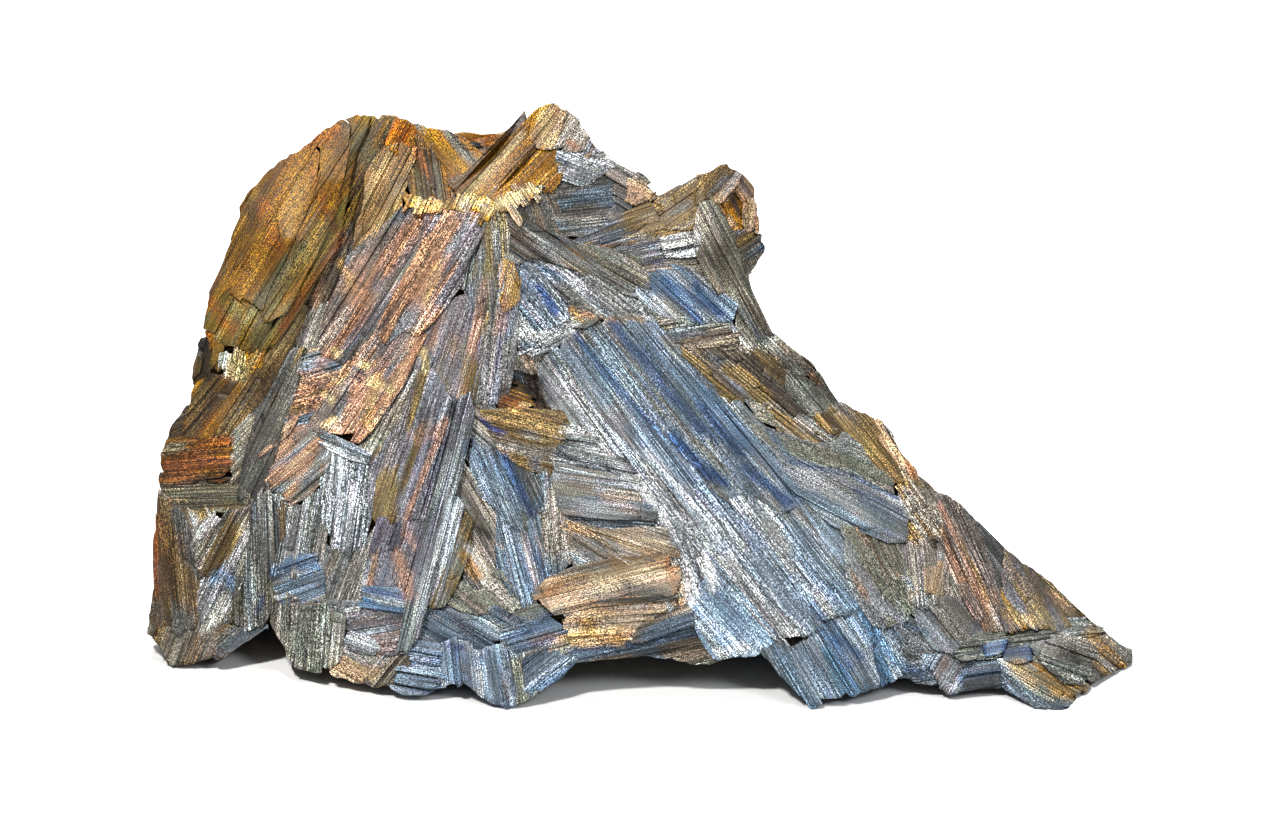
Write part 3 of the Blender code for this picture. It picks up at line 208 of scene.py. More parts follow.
fan_c|-52|1.2|fanpale|577,331 590,324 602,321 617,345 642,375 662,400 682,425 702,445 727,470 748,496 730,503 698,482 678,462 653,437 628,407 608,382 588,352
fan_d|-51|0.8|fanblue2|599,323 612,315 627,319 647,345 672,370 697,400 722,430 747,455 767,480 793,506 775,518 744,498 723,472 698,447 678,427 658,402 638,377 613,347
fan_e|-50|0.4|fangrey|623,321 640,321 658,322 670,338 692,365 714,390 737,420 762,445 787,475 808,501 790,509 763,482 743,457 718,432 693,402 668,372 643,347
fan_f|-52|0.6|fanwhite|636,480 650,458 672,480 693,496 713,520 738,545 763,575 783,600 803,625 803,638 790,645 778,640 758,622 738,597 713,567 688,537 658,502
fan_g|-52|1.0|fanstripe|696,482 730,499 747,494 778,515 793,540 818,570 843,600 852,612 830,623 803,638 797,627 777,602 757,577 732,547 707,522 686,497
fan_h|-53|0.7|fandark|772,517 790,505 808,499 820,505 834,520 851,545 854,580 862,602 852,613 838,602 813,572 788,542
plate_glit|-48|0.6|glitter|703,545 717,565 742,595 762,620 777,638 762,646 745,653 722,658 710,653 698,636 688,611 694,600 705,594 706,574
rough_white|-70|0.0|whiterough|684,532 706,546 709,576 703,594 690,602 678,582 672,560 678,545
hem_a|-60|0.6|hemblue1|761,653 774,641 790,646 806,640 822,670 842,696 834,699 823,703 811,709 801,700 791,690 782,680 774,671
hem_b|-58|0.9|hemblue2|803,640 830,621 852,611 872,640 874,665 880,684 866,695 854,697 845,691 838,693 820,671
hem_c|-62|0.4|hemblue3|848,612 864,605 882,634 897,623 905,640 905,672 893,678 884,686 876,690 872,666 869,641
floor_a|-10|0.3|floorblue|398,652 412,640 442,645 439,662 443,687 437,688 428,693 420,698 410,698 400,696 394,688 388,682 402,668 412,655
floor_b|-84|0.6|floorwhite|439,646 455,639 477,650 487,675 495,700 484,698 475,690 463,685 451,684 441,688 437,662
floor_c|-80|0.8|floortan|474,651 500,645 527,660 532,690 544,692 532,700 522,705 513,709 504,710 494,706 484,699 490,696 484,675
floor_d|38|0.5|floorstripe|523,660 545,650 567,657 582,662 573,668 563,674 553,684 543,692 530,697
agg_a|-30|0.0|aggregate|408,645 420,612 440,605 465,609 500,609 512,615 508,640 475,653 455,643 440,648
agg_b|16|0.3|aggstripe|506,617 535,604 552,618 567,625 573,642 567,660 545,653 525,662 503,648
rough_peach|4|0.4|roughpeach|562,612 600,600 640,597 674,599 664,614 642,626 628,642 600,648 575,651 568,640 562,626
band_low|12|0.5|bandlow|570,650 600,646 628,640 652,638 692,629 704,640 716,655 727,660 714,663 701,665 686,661 665,656 641,655 625,657 606,661 592,663 577,664 563,660
block_low|20|0.2|blocklow|636,628 660,611 690,603 698,620 704,638 690,634 650,644 624,645
nodule|-10|0.2|nodulegrey|602,661 622,657 643,654 642,663 632,667 622,671 614,669
hem_tan|10|-0.2|hemtan|686,646 712,654 745,652 762,644 763,655 758,652 742,656 727,660 714,664 701,665 684,660
crevice_rust|-20|-2.0|rustdeep|498,392 520,383 532,392 536,407 516,414 500,410
hollow_mid|-70|-3.5|darkbrown|512,366 525,358 537,370 548,390 553,408 540,414 531,404 530,392 519,384
plate_brown|-14|0.8|brownplate|490,413 516,411 540,411 564,411 571,425 564,446 554,462 550,473 525,468 507,457 495,441 490,425
plate_spot|-40|0.2|spotgrey|463,402 492,398 498,412 494,425 499,441 490,453 474,448 468,426
blade_ink|-66|0.5|blueblade|468,446 490,449 498,441 510,455 527,465 548,473 547,491 537,512 526,531 511,521 498,511 484,501 470,480
stripe_tan|-84|0.3|tanvert|544,473 553,459 560,480 564,510 572,540 575,560 562,573 550,578 544,556 539,530 534,513 544,490
fibre_blue|-76|0.2|fibreblue|498,510 512,519 526,527 536,511 542,530 547,555 553,577 542,592 534,602 520,609 511,591 498,571 496,545
knob_grey|-60|-0.2|roughgrey|460,452 470,445 474,480 487,499 501,509 500,545 502,570 490,587 474,592 463,582 467,545 469,520 456,507 454,480
low_sage|-40|0.0|sagepale|474,592 490,584 500,569 513,589 522,609 510,614 500,612 480,614 465,612 448,604 453,585 463,580
band_rough|-12|0.6|zebrawhite|561,412 577,428 600,440 620,456 642,480 645,494 610,478 580,473 560,465 551,461 561,445 567,426
lens_beige|-8|0.8|lensbeige|551,461 580,470 610,475 642,489 654,500 646,518 610,518 580,515 562,513 556,482
streak_ink|-4|0.2|inkstreak|560,512 580,511 610,514 645,514 658,520 642,532 610,534 585,528 562,522
wedge_stripe|-30|0.6|wedge|560,520 585,524 612,540 632,559 610,565 590,570 573,573 568,546
tan_orange|-18|0.4|tanorange|582,526 610,531 640,529 667,529 674,552 652,560 628,563 608,542
white_run|-60|0.4|whiterun|638,480 650,486 662,500 692,535 682,548 676,562 664,547 656,524 646,500
grey_run|-66|0.0|greyrun|653,520 672,545 682,578 694,600 670,604 676,580 664,556
fill_umber|-70|-0.4|umber|176,500 196,506 216,506 206,530 194,544 186,526
fill_purple|74|0.8|purple|402,514 428,512 424,532 421,552 399,552
fill_notch|-60|-2.0|darkbrown|514,346 534,352 552,344 544,368 530,376 512,372
fill_slope|-50|0.3|fanlow|720,398 734,400 750,398 756,420 770,436 790,458 786,468 764,448 740,424
fill_wing|-66|0.2|tangrey|932,542 944,540 954,562 970,602 948,604 942,576
fill_ledge|-10|0.0|bluegrey|306,598 352,602 360,604 348,612 322,614
fill_ochre|60|0.2|ochredark|243,349 264,350 262,364 250,384 244,382
fill_slate|62|0.2|slate|293,350 303,350 280,384 262,418 252,430 250,412 268,384
fill_rough|-70|-0.2|roughpeach|664,600 704,592 694,608 672,614 660,616
fill_seam|-60|0.2|olivedark|640,300 652,306 676,336 698,366 694,372 668,342
block_peach|14|0.8|peachblock|536,594 550,578 575,568 610,560 652,556 672,549 681,575 675,600 640,600 600,603 568,611 553,620 544,606
"""

# finish: first family, second family, share of the second, narrowest and widest lath in drawing units,
# height scatter in mm, cross partings, white flecks (painted glints of light), dark flecks, tone
FINISH = """
rust_rim rust umber .35 2.5 7 .22 .1 .15 .6 1
rust_main ochre rust .4 3 9 .22 .06 .08 .5 .98
rust_mid ochre rust .35 3 9 .22 .06 .08 .5 1.02
rust_inner rustgrey rust .35 2.5 7 .2 .08 .1 .5 1.15
rust_low rustgrey ochre .4 3 9 .16 .05 .12 .4 .92
rust_crest rustgrey umber .45 2 6 .3 .25 .35 .7 1.35
dark_strip pepper umber .2 1.6 4 .5 .5 .9 1 1.3
silver_strip greybrown silver .45 1.8 5 .35 .4 .8 .8 1.15
tan_fan tan umber .25 1.8 4.5 .2 .1 .4 .6 1
slate_blade slate greybrown .35 2 6 .25 .1 .4 .7 .62
hollow_left umber black .35 2 5 .7 .3 .3 1 .85
crumb_orange rust orange .5 2 5 .3 .5 .4 .5 1
crumb_white crumb white .35 1.6 4 .6 .9 1 1 1.35
blade_ochre umber ochre .5 2 6 .25 .15 .5 .6 .75
block_slate slate umber .4 3 8 .3 .2 .2 .6 .38
block_rust redblock orange .4 1.8 5 .35 .25 .5 .8 .8
streak_white greybrown silver .4 1.6 4 .3 .3 .8 .7 1
block_grey greybrown pepper .35 1.6 4.5 .3 .2 .6 .8 1.1
blade_brown umber slate .35 2 6 .25 .08 .45 .6 .78
blade_silver silver greybrown .35 2 6 .3 .15 .9 .7 .85
blade_tan tan greybrown .4 1.8 5 .22 .1 .6 .6 .95
blade_blue palegrey silver .4 2 6 .25 .1 .8 .6 1
stripe_grey grey greybrown .3 1.6 4.5 .22 .08 .6 .7 .75
stripe_ink ink steel .3 1.6 4 .25 .1 .6 .8 .78
foot_brown greybrown umber .35 2 6 .4 .4 .5 .7 1
foot_facet steel greybrown .3 3 9 .2 .1 .4 .4 .7
tip_orange gold orange .35 2.5 7 .3 .35 .4 .6 1
plate_peach peach tan .35 2.5 8 .3 .4 .5 .6 1
brush_wedge umber ochre .5 1.5 3.5 .4 .3 .6 1 1
gold_crumbs peach gold .4 1.6 4 .7 1 .8 .5 1.25
gold_chips peach white .35 1.6 4 .7 1 .8 .5 1.45
copper_a copperdark copper .45 1.8 5 .25 .3 .7 .8 1
copper_b copper mauve .3 1.8 6 .25 .3 .8 .7 1
copper_c mauve sage .35 1.8 5 .22 .15 .4 .6 1
copper_d copper copperdark .25 2.4 8 .28 1.1 1 .5 1.15
copper_e copper bluegrey .4 3 6 .4 3.4 .9 .8 1
plate_grey mauve beige .3 4 11 .14 .05 .3 .3 1
gold_chip gold white .3 3 6 .5 .5 .8 .4 .65
sage_tail sage greybrown .4 1.8 5 .25 .25 .6 .7 1.6
steel_line palegrey steel .5 1.8 4 .3 .2 .8 .7 1
pink_bits greybrown copper .35 2.5 7 .4 .5 .7 .8 1
white_patch palegrey white .4 1.6 4 .5 .7 1 .9 .85
tan_stripes grey beige .4 1.8 4.5 .25 .15 .7 .7 1
blue_patch bluegrey beige .35 2.5 7 .22 .2 .5 .4 1
fibre_grey grey beige .35 1.5 3.8 .4 .4 .7 .9 1
pale_tan beige sage .4 2.5 7 .3 .3 .7 .6 1
panel_olive sage beige .35 2.5 7 .2 .15 .6 .5 1
block_white palegrey white .5 2.5 6 .3 .3 1 .6 .8
block_mauve palegrey mauve .4 2.5 7 .3 .3 .8 .6 1
foot_peach peach beige .5 3 9 .3 .3 .6 .5 1
foot_fibre pepper grey .4 1.6 4 .45 .4 .8 1 1
mauve_a mauve tan .35 1.8 5 .18 .08 .4 .6 1
mauve_b purple mauve .4 1.8 5 .22 .1 .6 .7 .9
mauve_c grey mauve .4 1.8 5 .25 .08 .7 .6 1
block_dark slate purple .5 2 6 .2 .15 .5 .5 1
block_copper mauve copper .3 2.5 7 .2 .15 .5 .4 1
band_blue blue palegrey .35 3 7 .25 .3 .5 .5 1
silver_blade palegrey white .5 2 6 .22 .1 .9 .5 1
tan_sliver sage tan .4 1.8 5 .22 .1 .5 .5 1
back_olive ochre sage .25 3 9 .2 .15 .35 .3 1.15
back_red redblock umber .4 2.5 7 .6 .6 .5 .8 1.35
gold_slab ochre gold .35 2 6 .28 .15 .6 .5 .75
gold_low tan ochre .35 2 6 .2 .12 .4 .4 1.2
dome_gold gold peach .45 3 9 .25 .3 .6 .3 1
dome_mauve beige peach .4 3 9 .25 .3 .5 .4 1
silvery_back palegrey white .3 3 9 .4 .4 .8 .5 .75
slate_back slate steel .45 2 6 .25 .15 .5 .6 1
grey_back grey beige .35 3 8 .35 .3 .7 .5 1
tan_knob peach beige .5 4 10 .35 .3 .5 .3 1
slate_tri slate grey .4 2 6 .2 .1 .5 .6 1
brown_wedge tan umber .3 2 6 .22 .12 .4 .5 1
peak_plate tan grey .5 2.5 7 .3 .3 .6 .6 1
peak_tan tan peach .5 2 6 .3 .2 .6 .7 1
peak_rim umber peach .45 2.5 6 .4 .4 .6 .8 1
peak_hollow ochre peach .35 2.5 6 .6 .3 .5 .8 1.45
peak_side peach tan .3 3 8 .25 .2 .5 .5 1
peak_bits greybrown tan .4 2.5 7 .5 .5 .7 .8 1
spine greybrown sage .4 1.8 5 .3 .15 .7 .9 1
band_brown tan umber .35 2 6 .3 .25 .6 .7 1
block_snow white palegrey .3 3 7 .35 .3 1 .8 .8
block_ink ink palegrey .4 2 5 .4 .3 .9 1 .65
band_tan greybrown tan .45 2.5 7 .25 .2 .6 .6 1.15
apex_spire greybrown tan .4 1.6 4.5 .25 .1 .5 .7 .8
apex_dark pepper sage .35 1.6 4 .4 .3 .7 .9 1
mauve_run mauve tan .35 2 6 .2 .1 .5 .5 1
ridge_grey beige mauve .5 2.5 8 .2 .12 .6 .4 1
gold_face copper gold .35 2.5 7 .35 .5 .8 .5 1
crown_grey grey tan .4 1.8 5 .25 .15 .6 .7 1
crown_low grey palegrey .4 1.6 4.5 .3 .12 .9 1 1
pale_tex palegrey bluegrey .45 2 6 .4 .5 .9 .7 1.25
spot_orange sage tan .4 2.5 6 .4 .5 .6 .7 1
white_band palegrey white .4 2 5 .4 .4 1 .8 1
edge_brown greybrown grey .4 1.8 5 .25 .12 .5 .6 1
plate_blue bluegrey palegrey .3 2 7 .2 .08 .7 .5 1
band_spine beige greybrown .4 1.6 4.5 .25 .12 .8 .7 1
knot_dark sage pepper .4 1.6 4 .45 .5 .7 1 1
fan_brown pepper tan .45 1.5 3.6 .45 .35 .6 1 1
fan_low greybrown tan .4 1.6 4 .35 .3 .6 .8 1
rim_upper greybrown sage .4 1.8 5 .45 .4 .8 .9 1
rim_knobs sage greybrown .4 3 8 .6 .6 .7 .8 1
rim_brown tan umber .35 1.8 5 .35 .25 .7 .7 1
rim_peach peach beige .4 2.5 7 .4 .5 .8 .6 1.25
plate_smooth beige sage .5 2.5 9 .15 .08 .5 .4 1
plate_fold palegrey bluegrey .45 2.5 9 .18 .08 .6 .45 1
lens_olive sage umber .35 1.8 5 .2 .1 .5 .6 1
plate_low palegrey sage .45 3 10 .15 .08 .5 .35 1
stripe_pale palegrey beige .4 1.8 5 .35 .2 .9 .8 1
blob_tan beige peach .35 4 9 .3 .3 .6 .4 1
tan_spark beige tan .5 2 6 .35 .5 .9 .7 1
copper_wing copperdark copper .3 1.8 5 .28 .12 .6 .7 .72
slate_wing slate grey .45 2 6 .25 .12 .5 .6 .8
mauve_wing mauve tan .35 2.5 8 .18 .15 .5 .5 .85
copper_low copperdark gold .45 2 6 .3 .3 .6 .6 .75
rim_wing tan copper .4 2 6 .3 .3 .9 .8 1
plate_pale palegrey beige .35 4 11 .14 .08 .4 .3 1
layers sage greybrown .45 1.8 4.5 .35 .12 .8 .9 .95
chip_blue blue steel .3 3 7 .2 .2 .5 .5 1
chip_blue2 blue bluegrey .35 2.5 6 .2 .2 .6 .5 .75
plate_wing sage greybrown .45 2 6 .35 .4 .8 .8 1
tip greybrown ochre .4 2 6 .4 .4 .8 .9 .85
nodules sage ochre .35 2.5 7 .5 .6 .9 .8 1
keel steel ink .4 1.8 5 .35 .08 .9 .9 .55
hem_dark steel ink .35 2 6 .25 .12 .5 .6 .8
hem_silver bluegrey white .45 2 6 .4 .4 1 .8 .8
hem_right steel ink .3 2 6 .3 .2 .6 .8 .72
hem_fibre grey steel .35 1.8 5 .35 .4 .6 .8 1
fan_a palegrey white .5 1.6 4.5 .25 .1 1 .8 1
fan_b bluegrey palegrey .45 1.6 5 .22 .05 .7 .6 1
fan_c bluegrey grey .35 1.6 5.5 .22 .05 .7 .55 1
fan_d bluegrey steel .35 1.6 5.5 .22 .05 .6 .6 1
fan_e grey bluegrey .4 1.6 5 .22 .06 .6 .6 1.15
fan_f palegrey white .5 1.8 5.5 .25 .06 1 .7 1
fan_g palegrey bluegrey .5 1.6 5.5 .24 .05 .9 .7 1
fan_h grey bluegrey .5 1.8 5.5 .22 .06 .7 .6 1
plate_glit glitter bluegrey .35 4 10 .12 .1 1 .6 1
rough_white palegrey white .45 2 5 .5 .6 1 .8 1
hem_a steel bluegrey .5 1.8 5.5 .25 .12 .6 .7 1
hem_b blue bluegrey .5 1.8 5.5 .25 .12 .5 .7 1
hem_c blue bluegrey .5 1.8 5.5 .25 .2 .6 .7 1
floor_a bluegrey steel .4 3 8 .3 .3 .6 .6 1
floor_b bluegrey palegrey .35 2 6 .35 .25 .8 .7 1
floor_c bluegrey sage .4 2 6 .35 .3 .7 .7 1
floor_d steel bluegrey .5 2 6 .25 .12 .5 .6 1
agg_a steel grey .45 1.8 5 .4 .6 .6 .8 1
agg_b bluegrey sage .4 1.8 5 .28 .2 .6 .7 1
rough_peach peach beige .5 3 8 .35 1.8 .35 .5 1
band_low steel pepper .4 1.8 5 .25 .12 .6 .8 1
block_low steel pepper .4 3 8 .35 .4 .5 .7 .9
nodule pepper grey .4 3 8 .4 .4 .6 .7 2.2
hem_tan greybrown palegrey .5 2 6 .35 .4 .8 .8 .85
crevice_rust rust umber .5 2 4 .6 1.5 .5 .9 1.7
hollow_mid umber black .4 2 6 .7 .5 .6 1 2
plate_brown tan beige .35 2.5 8 .2 .3 .4 .5 1
plate_spot grey beige .45 2.5 7 .25 .3 .5 .6 1.15
blade_ink grey bluegrey .5 1.8 5 .25 .1 .7 .7 1
stripe_tan beige bluegrey .4 2 6 .2 .1 .6 .5 1
fibre_blue steel bluegrey .5 1.6 4.5 .3 .12 .6 .8 1
knob_grey beige grey .45 2.5 6 .5 .6 .7 .8 1
low_sage sage beige .45 3 8 .3 .4 .6 .5 1
band_rough white ink .3 1.8 5 .55 .5 1 1 1
lens_beige beige palegrey .35 2.5 8 .22 .25 .7 .5 1
streak_ink ink palegrey .45 1.6 4 .35 .25 .8 1 1
wedge_stripe peach beige .5 1.8 5 .22 .08 .6 .6 1
tan_orange beige peach .45 2.5 7 .35 .4 .7 .6 .95
white_run white palegrey .5 2 6 .4 .35 1 .6 1
grey_run palegrey beige .35 2 6 .45 .5 .9 .6 1
fill_umber tan copperdark .4 2.5 7 .25 .2 .5 .6 1
fill_purple mauve purple .5 1.8 5 .25 .1 .6 .6 1
fill_notch beige sage .4 2 5 .5 .5 .6 .8 1.8
fill_slope grey sage .4 1.8 5 .3 .2 .6 .7 1
fill_wing greybrown beige .5 2 6 .3 .3 .7 .7 1
fill_ledge bluegrey grey .4 2 5 .3 .3 .6 .7 1
fill_ochre tan ochre .4 2 6 .2 .1 .4 .5 1
fill_slate slate tan .3 2 6 .25 .1 .4 .6 .85
fill_rough peach palegrey .4 2 6 .4 .5 .9 .8 1
fill_seam sage grey .4 1.6 4 .3 .2 .6 .8 1
block_peach peach beige .3 4 10 .16 1.6 .15 .3 1
"""

FAMILY = {  # dark, middle and light tone of each family, sRGB
    "rust": ("4a3208", "8a6618", "c09c48"), "ochre": ("5c4410", "98701c", "cca44a"),
    "rustgrey": ("4a3a20", "847048", "b3a47c"), "orange": ("744010", "ba7626", "e4b268"),
    "umber": ("3a2814", "645038", "988468"), "pepper": ("28211b", "6b6154", "b8ad9f"),
    "tan": ("54432c", "877354", "b3a07c"), "slate": ("34312c", "5d5c58", "9c9a94"),
    # black is painted shade: it colours the recessed hollows hollow_left and hollow_mid, darker than the stone around
    # them
    "black": ("120a05", "35241a", "80695a"), "crumb": ("5a4828", "a89c80", "f6f2e0"),
    "redblock": ("48280a", "8a5c1e", "be965a"), "greybrown": ("3c3831", "79746a", "b5b0a7"),
    "silver": ("504c44", "9c9890", "ecebe6"), "grey": ("3c3d3d", "7d7e7c", "babbb8"),
    "ink": ("1f2226", "5c6064", "b8b9b8"), "steel": ("2c363e", "646f78", "a9b4bc"),
    # gold, copper and copperdark stand for the orange staining of the blades together with a painted warm sheen of
    # light on their cleavage faces
    "peach": ("76604c", "c2a68a", "f0dec8"), "gold": ("7c5828", "c29650", "f8dc9c"),
    "copper": ("6e5240", "b48f78", "f0d0b4"), "copperdark": ("4c443d", "857a72", "c7b7aa"),
    "mauve": ("4b494d", "7f7b7e", "b5b0b4"), "purple": ("454149", "787077", "b8adb2"),
    "bluegrey": ("47545f", "84909c", "c4cfd8"), "blue": ("2e4560", "5c7690", "a6b9ca"),
    "palegrey": ("57595b", "9a9c9e", "dcdfe1"), "white": ("5c5e60", "b2b4b5", "f6f8f9"),
    "sage": ("484a43", "8b8b80", "c5c6bb"), "beige": ("57544f", "9b948b", "d5cfc6"),
    "glitter": ("53677a", "9fb3c6", "e8f3fb"),
}

PAINT_COLOUR = {
    "deep": "2c4a76", "navy": "1e3068", "blue": "6080a0", "sky": "9cb4cc", "steel": "5c7080", "white": "f4f5f4",
    # the copper and gold inks, like the families of those names, carry a painted warm sheen of light as well as the
    # orange staining
    "cream": "f2dfb8", "orange": "c4722a", "red": "86481a", "ochre": "b48232", "gold": "e2b264", "brightgold": "f6d898",
    "copper": "cf9878", "peach": "e0b488", "lightpeach": "ecd4b4", "dark": "2a241e", "black": "0e0c0b", "umber": "46341f",
    "grey": "6f706c", "darkgrey": "45454a", "sage": "8a9080", "mauve": "75686e", "ink": "2b3340", "tan": "a89070",
}
